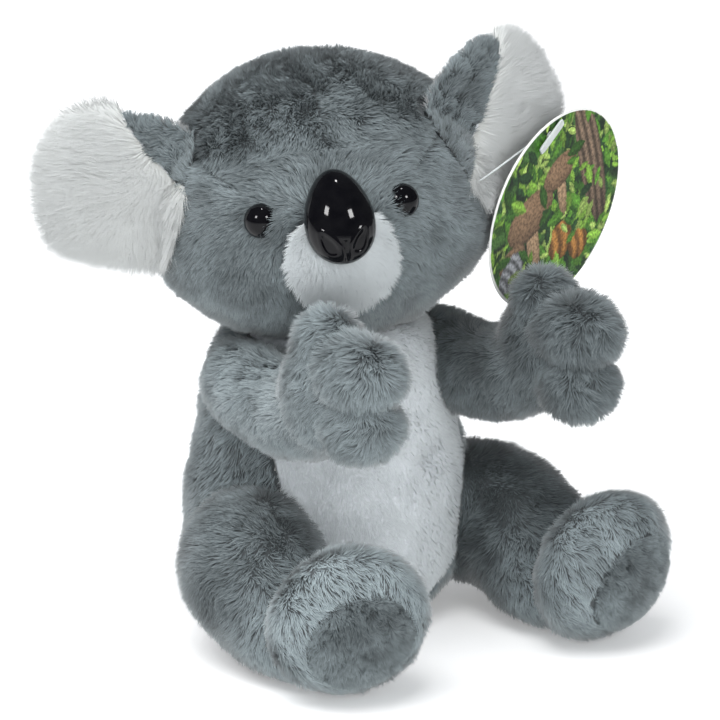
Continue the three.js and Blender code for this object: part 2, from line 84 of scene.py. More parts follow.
head_centre = np.array([-4, -2.5, 129]) * mm
head_turn, head_roll = math.radians(27.5), math.radians(7)
head_half_width, head_half_depth, head_half_height = 50 * mm, 44 * mm, 45 * mm
cheek_swell_share, cheek_level_share, cheek_spread_share = 0.11, -0.45, 0.4
muzzle_reach, muzzle_spread, muzzle_drop = 9 * mm, 17 * mm, 7.5 * mm
muzzle_half_width, muzzle_half_height = 17.5 * mm, 18.2 * mm

pile_sink = 1.8 * mm
eye_radius, eye_spacing, eye_rise = 5.2 * mm, {"left": 20.5 * mm, "right": 22.5 * mm}, 5.8 * mm
nose_half = np.array([10.25, 14.25, 9]) * mm
nose_taper_share, nose_rise = 0.16, 6 * mm
nostril_half = np.array([1.5, 2.7]) * mm
nostril_spacing, nostril_drop = 4.7 * mm, 9.4 * mm

ear_reach, ear_half_width, ear_half_thickness = 45 * mm, 24.5 * mm, 7.5 * mm
ear_root_depth, ear_root_lift = 14 * mm, {"right": 6 * mm, "left": 12 * mm}
ear_seam_back, ear_fringe = 1.5 * mm, {"right": 1.5 * mm, "left": 3.5 * mm}
ear_root = {"out": 43 * mm, "forward": 10 * mm, "rise": 8 * mm}
ear_rise = {"right": math.radians(14), "left": math.radians(32)}
ear_facing = {"right": math.radians(25), "left": math.radians(42)}
ear_fold = {"right": (6 * mm, 25 * mm, 27 * mm), "left": (3 * mm, 50 * mm, 22 * mm)}
ear_width_shares = [1.14, 1.04, 1, 1, 0.9]
ear_thickness_shares = [0.5, 0.85, 1, 1, 0.9]

shoulder = {"out": 32 * mm, "forward": 5 * mm, "rise": 77 * mm}
paw = {"out": 39 * mm, "forward": 70 * mm, "rise": 91 * mm}
arm_radius, arm_sag = 15 * mm, 8.5 * mm
arm_width_shares, arm_height_shares = [0.9, 1.02, 1, 1, 1], [0.8, 0.94, 1.02, 1.06, 1.1]
paw_half_size = 22.5 * mm
paw_lobe_shares = {
    "palm": (-0.58, -0.16, (0.64, 0.76, 0.88)),
    "thumb": (-0.58, 0.48, (0.52, 0.52, 0.54)),
    "upper fingers": (0.12, 0.24, (0.62, 0.76, 0.56)),
    "lower fingers": (0.16, -0.46, (0.58, 0.66, 0.56)),
}

hip = {"out": 28 * mm, "forward": 2 * mm, "rise": 27 * mm}
knee = {"out": 45 * mm, "forward": 26 * mm, "rise": 26 * mm}
ankle = {"out": 45 * mm, "forward": 58 * mm, "rise": 14 * mm}
foot = {"out": 46 * mm, "forward": 77 * mm, "rise": 24 * mm}
thigh_radius = 23 * mm
leg_width_shares, leg_height_shares = [1, 1.02, 0.95, 0.86, 0.8], [1, 1.04, 0.86, 0.62, 0.7]
foot_half_size = np.array([26, 17.5, 25]) * mm
foot_splay, foot_lean, sole_depth = math.radians(15), math.radians(17), 11 * mm

card_half_width, card_half_height, card_thickness = 35 * mm, 29.5 * mm, 0.6 * mm
card_hole_radius, card_hole_share = 1.5 * mm, 0.86
card_centre = np.array([60.2, -32.7, 122]) * mm
card_turn, card_lean, card_roll = math.radians(20), math.radians(6), math.radians(-17)

# %% [markdown]
# ## Small tools
# Every surface here is worked out as whole arrays. These helpers turn vectors, draw smooth curves
# through a few points and give a smooth random field, which later bends the pile and mottles it.

# %% Vectors, turns and curves
def unit(vectors):
    """Each row divided by its own length."""
    return vectors / np.maximum(np.linalg.norm(vectors, axis=-1, keepdims=True), 1e-12)


def turn(axis, angle):
    """The matrix that turns columns about a coordinate axis by the right-hand rule."""
    return np.array(Matrix.Rotation(angle, 3, axis))


def place(station, side):
    """A station given as out, forward and rise, on the toy's left (1) or right (-1)."""
    return np.array([side * station["out"], -station["forward"], station["rise"]])


# %% Splines
def share_at(shares, along):
    """Evenly spaced shares read smoothly at places from 0 to 1, by a uniform Catmull-Rom spline."""
    shares = np.asarray(shares, float)
    place_in = np.clip(along, 0, 1) * (len(shares) - 1)
    start = np.minimum(place_in.astype(int), len(shares) - 2)
    t = place_in - start
    p0, p1 = shares[np.maximum(start - 1, 0)], shares[start]
    p2, p3 = shares[start + 1], shares[np.minimum(start + 2, len(shares) - 1)]
    slope_1, slope_2 = (p2 - p0) / 2, (p3 - p1) / 2
    return (
        p1 + slope_1 * t
        + (3 * (p2 - p1) - 2 * slope_1 - slope_2) * t**2
        + (2 * (p1 - p2) + slope_1 + slope_2) * t**3
    )


def curve_at(points, along):
    """A smooth line through points at places from 0 to 1, and its unit tangent there."""
    points = np.asarray(points, float)
    ends = np.vstack([2 * points[0] - points[1], points, 2 * points[-1] - points[-2]])

    def at(places):
        place_in = np.clip(places, 0, 1) * (len(points) - 1)
        start = np.minimum(place_in.astype(int), len(points) - 2)
        t = (place_in - start)[:, None]
        p0, p1, p2, p3 = (ends[start + i] for i in range(4))
        return 0.5 * (
            2 * p1 + (p2 - p0) * t
            + (2 * p0 - 5 * p1 + 4 * p2 - p3) * t**2
            + (3 * p1 - p0 - 3 * p2 + p3) * t**3
        )

    step = 1e-3
    return at(along), unit(at(np.minimum(along + step, 1)) - at(np.maximum(along - step, 0)))


# %% Turns and random waves
def full_turn(count):
    """Evenly spaced angles, once round."""
    return np.linspace(0, 2 * np.pi, count, endpoint=False)


def waves(points, size, seed, count=20):
    """A smooth random field of about unit strength: a sum of plane waves with lengths near size."""
    rng = np.random.default_rng(seed)
    ways = unit(rng.normal(size=(count, 3)))
    ways = ways * (2 * np.pi / (size * rng.uniform(0.6, 1.5, (count, 1))))
    phases = rng.uniform(0, 2 * np.pi, count)
    return np.sin(points @ ways.T + phases).sum(1) / math.sqrt(count / 2)


def bell(distance, spread):
    """1 at no distance, falling smoothly to nothing over a few spreads."""
    return np.exp(-((distance / spread) ** 2))


# %% [markdown]
# ## From rings to meshes
# A sewn piece starts as rings of points between two poles. Neighbouring rings are joined by quads
# and the poles by triangles, so the skin is closed. Where several blanks make one piece, as the
# palm and the three lobes of a mitten do, a voxel remesh fuses them and a smoothing rounds the
# creases, which is what stretched plush does there.

# %% Mesh builders
def new_mesh(name, points, faces):
    """A mesh of points, in an array whose last axis is x, y and z, and of faces as lists."""
    mesh = bpy.data.meshes.new(name)
    mesh.from_pydata(np.asarray(points).reshape(-1, 3).tolist(), [], faces)
    return mesh


def ring_faces(count, around):
    """Faces of a closed skin of count rings: the poles are the last two vertices."""
    ring = np.arange(around)
    after = np.roll(ring, -1)
    rows = (np.arange(count - 3) * around)[:, None]
    quads = np.stack([rows + ring, rows + after, rows + around + after, rows + around + ring], -1)
    inner = (count - 2) * around
    first = np.stack([np.full(around, inner), after, ring], -1)
    last_row = (count - 3) * around
    last = np.stack([np.full(around, inner + 1), last_row + ring, last_row + after], -1)
    return quads.reshape(-1, 4), np.vstack([first, last])


def closed_mesh(name, *blanks):
    """A mesh of one or more closed skins, each an array of rings by points by three."""
    vertices, faces, start = [], [], 0
    for rings in blanks:
        quads, triangles = ring_faces(*rings.shape[:2])
        points = np.vstack([rings[1:-1].reshape(-1, 3), rings[0, :1], rings[-1, :1]])
        corners = points[triangles]
        fan = np.vstack([points[quads[:, [0, 1, 2]]], points[quads[:, [0, 2, 3]]], corners])
        volume = np.einsum("ij,ij->i", fan[:, 0], np.cross(fan[:, 1], fan[:, 2])).sum()
        order = slice(None) if volume > 0 else slice(None, None, -1)
        faces += [face + start for face in (quads[:, order], triangles[:, order])]
        vertices.append(points)
        start += len(points)
    return new_mesh(name, np.vstack(vertices), [f for part in faces for f in part.tolist()])


def looped_mesh(name, grid):
    """A mesh of a grid of points that is closed both ways, as a ring of rings is."""
    index = np.arange(grid.shape[0] * grid.shape[1]).reshape(grid.shape[:2])
    after, below = np.roll(index, -1, 1), np.roll(index, -1, 0)
    faces = np.stack([index, after, np.roll(below, -1, 1), below], -1)
    return new_mesh(name, grid, faces.reshape(-1, 4).tolist())


# %% Objects and their points
def linked(name, data):
    """A new object of the scene, at the origin."""
    made = bpy.data.objects.new(name, data)
    bpy.context.scene.collection.objects.link(made)
    return made


def shown(name, mesh):
    """A piece of the toy: the mesh as an object at the origin, shaded smooth."""
    mesh.shade_smooth()
    return linked(name, mesh)


def read(items, what, size, kind):
    """One property of many items of a mesh, as an array with a row for each."""
    flat = np.empty(len(items) * size, kind)
    items.foreach_get(what, flat)
    return flat.reshape(-1, size)


def points_of(mesh):
    """The vertices of a mesh as an array."""
    return read(mesh.vertices, "co", 3, float)


def moved(mesh, points):
    """The mesh with its vertices put at other points."""
    mesh.vertices.foreach_set("co", points.astype(np.float32).ravel())
    mesh.update()
    return mesh


# %% Meshes after their modifiers
def with_modifiers(blank, name):
    """The mesh of an object after its modifiers. The object itself is removed."""
    evaluated = blank.evaluated_get(bpy.context.evaluated_depsgraph_get())
    result = bpy.data.meshes.new_from_object(evaluated)
    result.name = name
    bpy.data.objects.remove(blank)
    return result


def fused(mesh, voxel, rounds):
    """One skin round several overlapping ones: a voxel remesh, then some smoothing rounds."""
    blank = linked("blank", mesh)
    remesh = blank.modifiers.new("Remesh", "REMESH")
    remesh.mode, remesh.voxel_size = "VOXEL", voxel
    smooth = blank.modifiers.new("Smooth", "SMOOTH")
    smooth.factor, smooth.iterations = 0.5, rounds
    return with_modifiers(blank, mesh.name)


# %% [markdown]
# ## The forms
# The body is a pear turned about the upright axis. The head is a unit ball moved by one rule:
# it is scaled to three half sizes, swells at the level of the cheeks and is pushed out round the
# muzzle. A limb is a blank with blunt round ends, carried along a smooth line. Each rule takes a
# "grow", so the same formula gives the skin, the filling inside it and the room a neighbour needs.

# %% The body's rule
def body_points(angle, along, grow):
    """The pear: its radius and height are splines of the place along the profile."""
    radius = share_at(body_profile_shares[:, 0], along) * (body_half_width + grow)
    height = body_height + floor_press + 2 * grow
    rise = share_at(body_profile_shares[:, 1], along) * height - floor_press - grow
    drawn_in = (body_half_depth + grow) / (body_half_width + grow)
    return np.stack([radius * np.cos(angle), radius * np.sin(angle) * drawn_in, rise], -1)


def body_radius(height, grow):
    """The pear's half width at a height, read from its own profile."""
    along = np.linspace(0, 1, 400)
    profile = body_points(np.zeros(400), along, grow)
    return np.interp(height, profile[:, 2], profile[:, 0])


# %% The head's rule
head_matrix = turn("Z", -head_turn) @ turn("Y", -head_roll)


def from_head(points):
    """Points of the head's own frame in the toy's frame."""
    return points @ head_matrix.T + head_centre


def to_head(points):
    """Points of the toy's frame in the head's own frame."""
    return (points - head_centre) @ head_matrix


def cheeks_at(level):
    """How much wider the head is at a level from -1 at the chin to 1 at the crown."""
    return 1 + cheek_swell_share * bell(level - cheek_level_share, cheek_spread_share)


def muzzle_push(x, z):
    """How far the face is pushed out: most at the muzzle, falling off round it."""
    return muzzle_reach * bell(np.hypot(x, z + muzzle_drop), muzzle_spread)


def shape_head(ball, grow):
    """The head's rule on points of a unit ball: cheeks, half sizes, then the push of the muzzle."""
    x = ball[..., 0] * (head_half_width + grow) * cheeks_at(ball[..., 2])
    z = ball[..., 2] * (head_half_height + grow)
    forward = np.maximum(0, -ball[..., 1])
    y = ball[..., 1] * (head_half_depth + grow) - forward * muzzle_push(x, z)
    return np.stack([x, y, z], -1)


# %% Places on the face
def face_depth(x, z, grow=0.0):
    """Where a line straight back at x, z meets the front of the head: its y there."""
    level = z / (head_half_height + grow)
    inside = 1 - (x / ((head_half_width + grow) * cheeks_at(level))) ** 2 - level**2
    return -np.sqrt(np.maximum(inside, 0)) * (head_half_depth + grow + muzzle_push(x, z))


def on_face(x, z):
    """The point of the face at x, z and the way out of it, from two nearby points."""
    near = 0.05 * mm
    at = np.array([x, face_depth(x, z), z])
    beside = np.array([x + near, face_depth(x + near, z), z]) - at
    above = np.array([x, face_depth(x, z + near), z + near]) - at
    return at, unit(np.cross(beside, above))


def frame_on(at, out):
    """A turn that takes z to the way out by the shortest way, and its place."""
    quaternion = Vector((0, 0, 1)).rotation_difference(Vector(out))
    return np.array(quaternion.to_matrix()), at


# %% Balls and blanks
def ball_rings(around, rings):
    """Rings of a unit ball with its poles on z."""
    angle = full_turn(around)[None]
    polar = np.linspace(0, np.pi, rings)[:, None]
    level = np.cos(polar) + 0 * angle
    return np.stack([np.sin(polar) * np.cos(angle), np.sin(polar) * np.sin(angle), level], -1)


def limb_rings(line, half_width, half_height, grow, around=64, rings=48, bluntness=3):
    """A blank with blunt ends carried along a line: each ring takes the line's place and slope,
    with its own half width across and half height over."""
    along = (1 - np.cos(np.linspace(0, np.pi, rings))) / 2
    round_end = (1 - np.abs(2 * along - 1) ** bluntness) ** (1 / bluntness)
    angle = full_turn(around)
    middle, tangent = curve_at(line, along)
    across = unit(np.cross(tangent, [0, 0, 1]))
    over = np.cross(across, tangent)
    endward = np.sqrt(1 - round_end**2) * np.sign(along - 0.5) * grow
    wide = round_end * (share_at(half_width, along) + grow)
    high = round_end * (share_at(half_height, along) + grow)
    centre = middle + tangent * endward[:, None]
    return (
        centre[:, None]
        + across[:, None] * (wide[:, None] * np.cos(angle))[..., None]
        + over[:, None] * (high[:, None] * np.sin(angle))[..., None]
    )


# %% [markdown]
# ## Pressing a piece against its neighbours
# A sewn limb doesn't run into the body: it lies against it, sewn round its root. So each blank is
# pressed out of what it meets. Points that would lie inside the body move straight out to its
# face, those inside the head move out along the head's radius, and those under the floor rise.

# %% Pressing rules
def out_of_body(points, grow):
    """Points inside the pear move level, away from its axis, to its face."""
    radius = np.maximum(body_radius(points[:, 2], grow), 1e-6)
    drawn_in = (body_half_depth + grow) / (body_half_width + grow)
    distance = np.maximum(np.hypot(points[:, 0], points[:, 1] / drawn_in), 1e-9)
    inside = (distance < radius) & (points[:, 2] < neck_height + 2 * mm)
    stretch = np.where(inside, radius / distance, 1)
    return points * np.stack([stretch, stretch, np.ones_like(stretch)], -1)


def out_of_head(points, grow):
    """Points inside the head's ball, without its muzzle, move out along their own radius."""
    local = to_head(points)
    half = np.array([head_half_width, head_half_depth, head_half_height]) + grow
    level = local[:, 2] / half[2]
    share = local / half / np.stack([cheeks_at(level), 1 + 0 * level, 1 + 0 * level], -1)
    distance = np.linalg.norm(share, axis=1)
    return from_head(local * np.maximum(1, 1 / np.maximum(distance, 1e-9))[:, None])


def off_floor(points, height):
    """Points lower than a height rise to it."""
    return np.stack([points[:, 0], points[:, 1], np.maximum(points[:, 2], height)], -1)


# %% [markdown]
# ## Materials
# One hair is dark at its root, where neighbours shade it, and pale at its tip. The colour is read
# from the hair's own map: V runs from root to tip, and U holds a tone that was drawn for each
# hair, with painted light and shade added by region where the pile would look lighter or darker,
# so the shade never depends on where the camera stands. The other materials are mottled by
# noise on the piece's own coordinates: cloth and fibre coarsely, mouldings hardly at all.

# %% Node helpers
def shader(name, roughness, **sockets):
    """A new material with its Principled shader and constants on the shader's own sockets."""
    material = bpy.data.materials.new(name)
    material.use_nodes = True
    principled = material.node_tree.nodes["Principled BSDF"]
    principled.inputs["Roughness"].default_value = roughness
    for socket, value in sockets.items():
        principled.inputs[socket.replace("_", " ")].default_value = value
    return material, material.node_tree, principled


def add_node(tree, kind, inputs, **settings):
    """A new node with its settings and its inputs, each linked to a socket or set to a value."""
    node = tree.nodes.new("ShaderNode" + kind)
    for name, value in settings.items():
        setattr(node, name, value)
    for key, value in inputs.items():
        if isinstance(value, bpy.types.NodeSocket):
            tree.links.new(value, node.inputs[key])
        else:
            node.inputs[key].default_value = (*value, 1) if isinstance(value, tuple) else value
    return node


def ramp(tree, stops, source):
    """A colour ramp with (place, colour or grey) stops, fed by a socket."""
    node = add_node(tree, "ValToRGB", {0: source})
    elements = node.color_ramp.elements
    while len(elements) < len(stops):
        elements.new(0.5)
    for element, (position, colour) in zip(elements, stops):
        element.position = position
        element.color = (*(colour if isinstance(colour, tuple) else (colour,) * 3), 1)
    return node.outputs[0]


def mixed(tree, mode, factor, first, second):
    """A colour mix node: sockets or plain values on its three inputs."""
    inputs = {0: factor, 6: first, 7: second}
    return add_node(tree, "Mix", inputs, data_type="RGBA", blend_type=mode).outputs[2]


def grain_of(tree, size, detail=2.0):
    """Noise in grains of a size, fixed to the piece by its own coordinates."""
    coordinates = tree.nodes.new("ShaderNodeTexCoord").outputs["Object"]
    noise = {"Scale": 1 / size, "Detail": detail, "Vector": coordinates}
    return add_node(tree, "TexNoise", noise).outputs[0]


def mottled(name, roughness, stops, size, detail=2.0, bump=None, **sockets):
    """A material coloured by a ramp over noise, with a bump of (strength, depth) if given."""
    material, tree, principled = shader(name, roughness, **sockets)
    grain = grain_of(tree, size, detail)
    tree.links.new(ramp(tree, stops, grain), principled.inputs["Base Color"])
    if bump:
        relief = {"Strength": bump[0], "Distance": bump[1], "Height": grain}
        tree.links.new(add_node(tree, "Bump", relief).outputs[0], principled.inputs["Normal"])
    return material


# %% Pile, cloth, filling and plastic materials
def pile_material(name, root, middle, tip, dark, light):
    """Hair colour: a ramp along the hair, multiplied by the hair's tone, which holds painted light
    and shade as well as random tone.
    """
    material, tree, principled = shader(
        name, 0.75, Sheen_Weight=0.4, Sheen_Roughness=0.45, Specular_IOR_Level=0.25)
    uv = add_node(tree, "UVMap", {}, uv_map="OFBake")
    split = add_node(tree, "SeparateXYZ", {0: uv.outputs[0]})
    along = ramp(tree, [(0, root), (0.5, middle), (1, tip)], split.outputs[1])
    tone = ramp(tree, [(0, dark), (1, light)], split.outputs[0])
    tree.links.new(mixed(tree, "MULTIPLY", 1.0, along, tone), principled.inputs["Base Color"])
    return material


def cloth_material(name, patch, colour, size):
    """Knitted backing and loose fibre: one colour with soft patches and a fine grain."""
    return mottled(name, 0.95, [(0.3, patch), (0.7, colour)], size, 4.0, (1.0, 0.4 * mm),
                   Sheen_Weight=0.15)


def plastic_material(name, colour, roughness, **sockets):
    """Plain moulded plastic with slight mottling."""
    darker = tuple(0.9 * share for share in colour)
    return mottled(name, roughness, [(0.3, darker), (0.7, colour)], 3 * mm, **sockets)


grey_pile = pile_material(
    "grey_pile", (0.1, 0.118, 0.124), (0.2, 0.237, 0.249), (0.34, 0.4, 0.415), 0.3, 1.7)
white_pile = pile_material(
    "white_pile", (0.68, 0.73, 0.745), (0.79, 0.84, 0.855), (0.83, 0.885, 0.9), 0.88, 1.04)
ear_pile = pile_material(
    "ear_pile", (0.64, 0.65, 0.62), (0.72, 0.74, 0.725), (0.78, 0.805, 0.8), 0.94, 1.03)
grey_cloth = cloth_material("grey_cloth", (0.05, 0.058, 0.061), (0.08, 0.09, 0.094), 3 * mm)
white_cloth = cloth_material("white_cloth", (0.6, 0.63, 0.66), (0.7, 0.73, 0.76), 3 * mm)
fibre = cloth_material("fibre", (0.68, 0.68, 0.66), (0.8, 0.8, 0.78), 6 * mm)
pouch_cloth = cloth_material("pouch_cloth", (0.5, 0.48, 0.43), (0.6, 0.58, 0.52), 1.5 * mm)
black_moulding = mottled(
    "black_moulding", 0.07, [(0.3, (0.002, 0.002, 0.003)), (0.8, (0.005, 0.005, 0.006))], 4 * mm,
    bump=(0.15, 0.02 * mm), Specular_IOR_Level=0.2)
washer_plastic = plastic_material("washer_plastic", (0.78, 0.78, 0.74), 0.45)
clear_plastic = plastic_material(
    "clear_fastener", (0.78, 0.82, 0.82), 0.3, Transmission_Weight=0.35, IOR=1.45)
print(len(bpy.data.materials), "materials")

# %% [markdown]
# ## Growing the pile
# A hair is a three-sided spike, so it shows an outer face from wherever it is seen. Its root is
# drawn at random on the skin, by area, and it leans with the nap. Its tip is drawn towards the
# tips of its tuft, because plush pile clings in tufts about a millimetre wide. Waves of two sizes
# bend the nap, so it parts and swirls as a stroked toy does.

# %% Hair builder
tone_columns = 48
root_depth = 0.3 * mm
off_floor_height = 0.15 * mm
most_corners = 8
whorl_size, lock_size, ruffle_size = 22 * mm, 4.5 * mm, 12 * mm
cell_primes = np.array([73856093, 19349663, 83492791])
thinning, thickening = ((1, 1.0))


def spike_mesh(name, points, normals, tones, underside):
    """Spikes as one mesh. points is hairs by four by three: left, right and top of the root, then
    the tip. The map's U is the hair's tone and V the way from root to tip. Each corner is shaded
    by the normal given for it, which is near the skin's, as light spreads in real pile."""
    hairs = len(points)
    mesh = bpy.data.meshes.new(name)
    sides_of_hair = [0, 2, 3, 2, 1, 3] + ([1, 0, 3] if underside else [])
    corners = (np.arange(hairs) * 4)[:, None] + np.array(sides_of_hair)
    mesh.vertices.add(hairs * 4)
    mesh.vertices.foreach_set("co", points.astype(np.float32).ravel())
    mesh.loops.add(corners.size)
    mesh.loops.foreach_set("vertex_index", corners.astype(np.int32).ravel())
    mesh.polygons.add(corners.size // 3)
    mesh.polygons.foreach_set("loop_start", np.arange(0, corners.size, 3, dtype=np.int32))
    mesh.polygons.foreach_set("use_smooth", np.ones(corners.size // 3, bool))
    column = np.clip((tones * tone_columns).astype(int), 0, tone_columns - 1)[:, None]
    across, up = np.array([0.1, 0.9, 0.5, 0.5]), np.array([0.02, 0.02, 0.02, 0.98])
    uv = np.stack([(column + across) / tone_columns, np.broadcast_to(up, (hairs, 4))], -1)
    layer = mesh.uv_layers.new(name="OFBake")
    layer.data.foreach_set("uv", uv.reshape(-1, 2)[corners.ravel()].astype(np.float32).ravel())
    mesh.update(calc_edges=True)
    mesh.normals_split_custom_set_from_vertices(normals.reshape(-1, 3).astype(np.float32))
    return mesh


# %% Roots on a skin
def roots_on(mesh, count, seed):
    """Random points of a skin, evenly by area, with its smooth normals there. A face with many
    corners is where a pad was cut to be sewn to another, and it grows no pile."""
    rng = np.random.default_rng(seed)
    mesh.calc_loop_triangles()
    points = points_of(mesh)
    corners = read(mesh.loop_triangles, "vertices", 3, np.int32)
    normals = read(mesh.vertex_normals, "vector", 3, float)
    face_of = read(mesh.loop_triangles, "polygon_index", 1, np.int32)[:, 0]
    face_corners = read(mesh.polygons, "loop_total", 1, np.int32)[:, 0]
    a, b, c = (points[corners[:, i]] for i in range(3))
    areas = np.linalg.norm(np.cross(b - a, c - a), axis=1) / 2
    areas[face_corners[face_of] > most_corners] = 0
    chosen = np.searchsorted(np.cumsum(areas), rng.random(count) * areas.sum())
    chosen = np.minimum(chosen, len(areas) - 1)
    first, second = rng.random(count), rng.random(count)
    over = first + second > 1
    first[over], second[over] = 1 - first[over], 1 - second[over]
    weights = np.stack([1 - first - second, first, second], -1)[..., None]
    picked = corners[chosen]
    return (points[picked] * weights).sum(1), unit((normals[picked] * weights).sum(1)), rng


# %% Pile on a skin
def dress(piece, material, body, slot, *nodes):
    """Gives a piece its material and its body, and hides the solids that it stands for. The slot is
    not used.
    """
    piece.data.materials.append(material)
    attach(piece, body)
    if nodes:
        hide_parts(*nodes)
    return piece


def grow_pile(name, skin, body, slot, material, count, nap, length, width=0.4 * mm, lean=52,
              tuft=1.3 * mm, cling=0.36, unruly=0.35, ragged=0.32, hugging=True, underside=True,
              where=None, height=None, tilt=None, shade=None, seed=1):
    """Covers a skin with hairs. nap(points) gives the way they lie, where(points, normals) which
    roots are kept, height(points) a share of the length, tilt(points) degrees added to the lean
    and shade(points) a change of tone, mostly painted light and shade where the pile would look
    lighter or darker. Pile that hugs the skin follows its curve. cling is how far tips go to their
    tuft's middle, unruly and ragged how uneven ways and lengths are."""
    roots, normals, rng = roots_on(skin.data, max(count // thinning, 10), seed)
    if where is not None:
        keep = where(roots, normals)
        roots, normals = roots[keep], normals[keep]
    hairs = len(roots)
    lie = nap(roots)
    if hugging:
        lie = lie - (lie * normals).sum(1, keepdims=True) * normals
    lie = unit(lie)
    swirl = 0.35 * waves(roots, whorl_size, seed + 1) + unruly * waves(roots, lock_size, seed + 2)
    swirl = (swirl + rng.normal(0, 0.15, hairs))[:, None]
    lie = lie * np.cos(swirl) + np.cross(normals, lie) * np.sin(swirl)
    angle = lean + 8 * waves(roots, ruffle_size, seed + 3) + rng.normal(0, 7, hairs)
    if tilt is not None:
        angle = angle + tilt(roots)
    angle = np.radians(angle)[:, None]
    long = length * rng.uniform(1 - ragged, 1 + ragged / 2, hairs)[:, None]
    if height is not None:
        long = long * height(roots)[:, None]
    tip = roots + long * unit(normals * np.cos(angle) + lie * np.sin(angle))
    warp = np.stack([waves(roots, 4 * mm, seed + 4 + i, 8) for i in range(3)], -1)
    cells = np.floor((roots + 0.4 * tuft * warp) / tuft).astype(np.int64)
    keys = np.bitwise_xor.reduce(cells * cell_primes, axis=1)
    _, tuft_of = np.unique(keys, return_inverse=True)
    sums = np.stack([np.bincount(tuft_of, tip[:, i]) for i in range(3)], -1)
    gathered = (sums / np.bincount(tuft_of)[:, None])[tuft_of] - tip
    tip = tip + cling * rng.uniform(0.5, 1.2, hairs)[:, None] * gathered
    along = unit(tip - roots)
    spin = rng.normal(0, 0.6, hairs)[:, None]
    wide = unit(np.cross(along, normals))
    wide = wide * np.cos(spin) + np.cross(along, wide) * np.sin(spin)
    face = np.cross(wide, along)
    half = width * thickening * rng.uniform(0.35, 0.65, hairs)[:, None]
    low = roots - normals * root_depth
    points = np.stack([low - wide * half, low + wide * half, low + face * half * 1.2, tip], 1)
    points[..., 2] = np.maximum(points[..., 2], off_floor_height)
    leaning = (-0.5 * wide, 0.5 * wide, 0.5 * face, 0.3 * along)
    shading = unit(np.stack([normals + part for part in leaning], 1))
    tuft_tones = rng.random(tuft_of.max() + 1)[tuft_of]
    tones = 0.5 + 0.06 * waves(roots, 13 * mm, seed + 9) + 0.14 * (tuft_tones - 0.5)
    tones = tones + rng.normal(0, 0.05, hairs)
    # Painted light and shade by region, added to the tones drawn at random
    if shade is not None:
        tones = tones + shade(roots)
    mesh = spike_mesh(name, points, shading, np.clip(tones, 0, 0.999), underside)
    dress(shown(name, mesh), material, body, slot)
    print(name, hairs, "hairs,", len(mesh.polygons), "triangles")


# %% Cloth skins
def finish_skin(name, mesh, material, body, slot, node):
    """A stuffed skin: its cloth and its body, with the solid that it stands for hidden. The slot is
    not used.
    """
    piece = dress(shown(name, mesh), material, body, slot, node)
    return piece


# How far under a solid's face the cloth of a cover, an ear and a filling lies
skin_depth, ear_skin_depth, filling_depth = 2.5 * mm, 3 * mm, 3.4 * mm
belly_cloth_depths, muzzle_cloth_depths = (1.6 * mm, 3.0 * mm), (1.9 * mm, 3.2 * mm)
belly_hollow, muzzle_hollow, muzzle_cloth_share = 1.6 * mm, 1.8 * mm, 0.86
wall = 3 * mm  # of a cover: its cloth and its pile

# %% [markdown]
# ## Body and belly
# The body cover is one closed pear. The belly is a separate white panel let into its front, so
# the cover is drawn in there by the panel's thickness and the panel lies in that hollow.

# %% Body skin
def belly_width(height):
    """Half the belly panel's width at a height."""
    top = neck_height + 6 * mm
    along = (height - belly_foot) / (top - belly_foot)
    return belly_half_width * share_at(belly_width_shares, along)


def in_belly(points, margin=0.0):
    """True in the belly panel's outline, seen from the front."""
    inside = np.abs(points[:, 0]) < belly_width(points[:, 2]) - margin
    return inside & (points[:, 1] < 0) & (points[:, 2] > belly_foot + margin)


def body_skin_points(grow, around=110, rings=80):
    """Rings of the pear, cut level at the neck and flat on the floor."""
    along, angle = np.broadcast_arrays(np.linspace(0, 1, rings)[:, None], full_turn(around))
    points = body_points(angle.ravel(), along.ravel(), grow)
    points[:, 2] = np.clip(points[:, 2], 0.2 * mm, neck_height - 0.2 * mm)
    return points.reshape(rings, around, 3)


rings = body_skin_points(-skin_depth)
flat = rings.reshape(-1, 3)
off_axis = np.hypot(flat[:, 0], flat[:, 1]).clip(1 * mm)
flat[:, :2] *= np.where(in_belly(flat), 1 - belly_hollow / off_axis, 1)[:, None]
body_skin = finish_skin(
    "body_skin", closed_mesh("body_skin", rings), grey_cloth, "body", "grey_plush", "body_cover")


# %% Belly panel
def belly_sheet(grow, across=44, up=60):
    """The panel's outline filled by a grid, laid on the pear's front."""
    s = np.linspace(-1, 1, across)[None, :]
    height = np.linspace(belly_foot + 0.3 * mm, neck_height - 0.3 * mm, up)[:, None]
    x = s * (belly_width(height.ravel())[:, None] - 0.3 * mm)
    height = np.broadcast_to(height, x.shape)
    radius = body_radius(height.ravel(), grow).reshape(x.shape)
    drawn_in = (body_half_depth + grow) / (body_half_width + grow)
    depth = np.sqrt(np.maximum(radius**2 - x**2, 0)) * drawn_in
    return np.stack([x, -depth, height], -1)


def two_sheet_mesh(name, front, back):
    """A closed panel between two grids of the same size, front and back."""
    rows, columns_across = front.shape[:2]
    index = np.arange(rows * columns_across).reshape(rows, columns_across)
    a, b, c, d = index[:-1, :-1], index[:-1, 1:], index[1:, 1:], index[1:, :-1]
    faces = np.stack([a, b, c, d], -1).reshape(-1, 4)
    rim = np.concatenate([index[0], index[1:, -1], index[-1, -2::-1], index[-2:0:-1, 0]])
    after = np.roll(rim, -1)
    count = rows * columns_across
    sides_of = np.stack([after, rim, rim + count, after + count], -1)
    every = np.vstack([faces, faces[:, ::-1] + count, sides_of])
    return new_mesh(name, np.stack([front, back]), every.tolist())


sheets = [belly_sheet(-depth) for depth in belly_cloth_depths]
belly_skin = finish_skin(
    "belly_skin", two_sheet_mesh("belly_skin", *sheets), white_cloth, "body", "white_plush",
    "belly_panel")
print("belly", [round(1000 * side) for side in belly_skin.dimensions], "mm")

# %% [markdown]
# ## Head and muzzle
# The head cover follows the head's rule, is cut level at the neck and drawn in under the white
# muzzle panel. Two darts run from the ear roots to the eyes, where the pile parts.

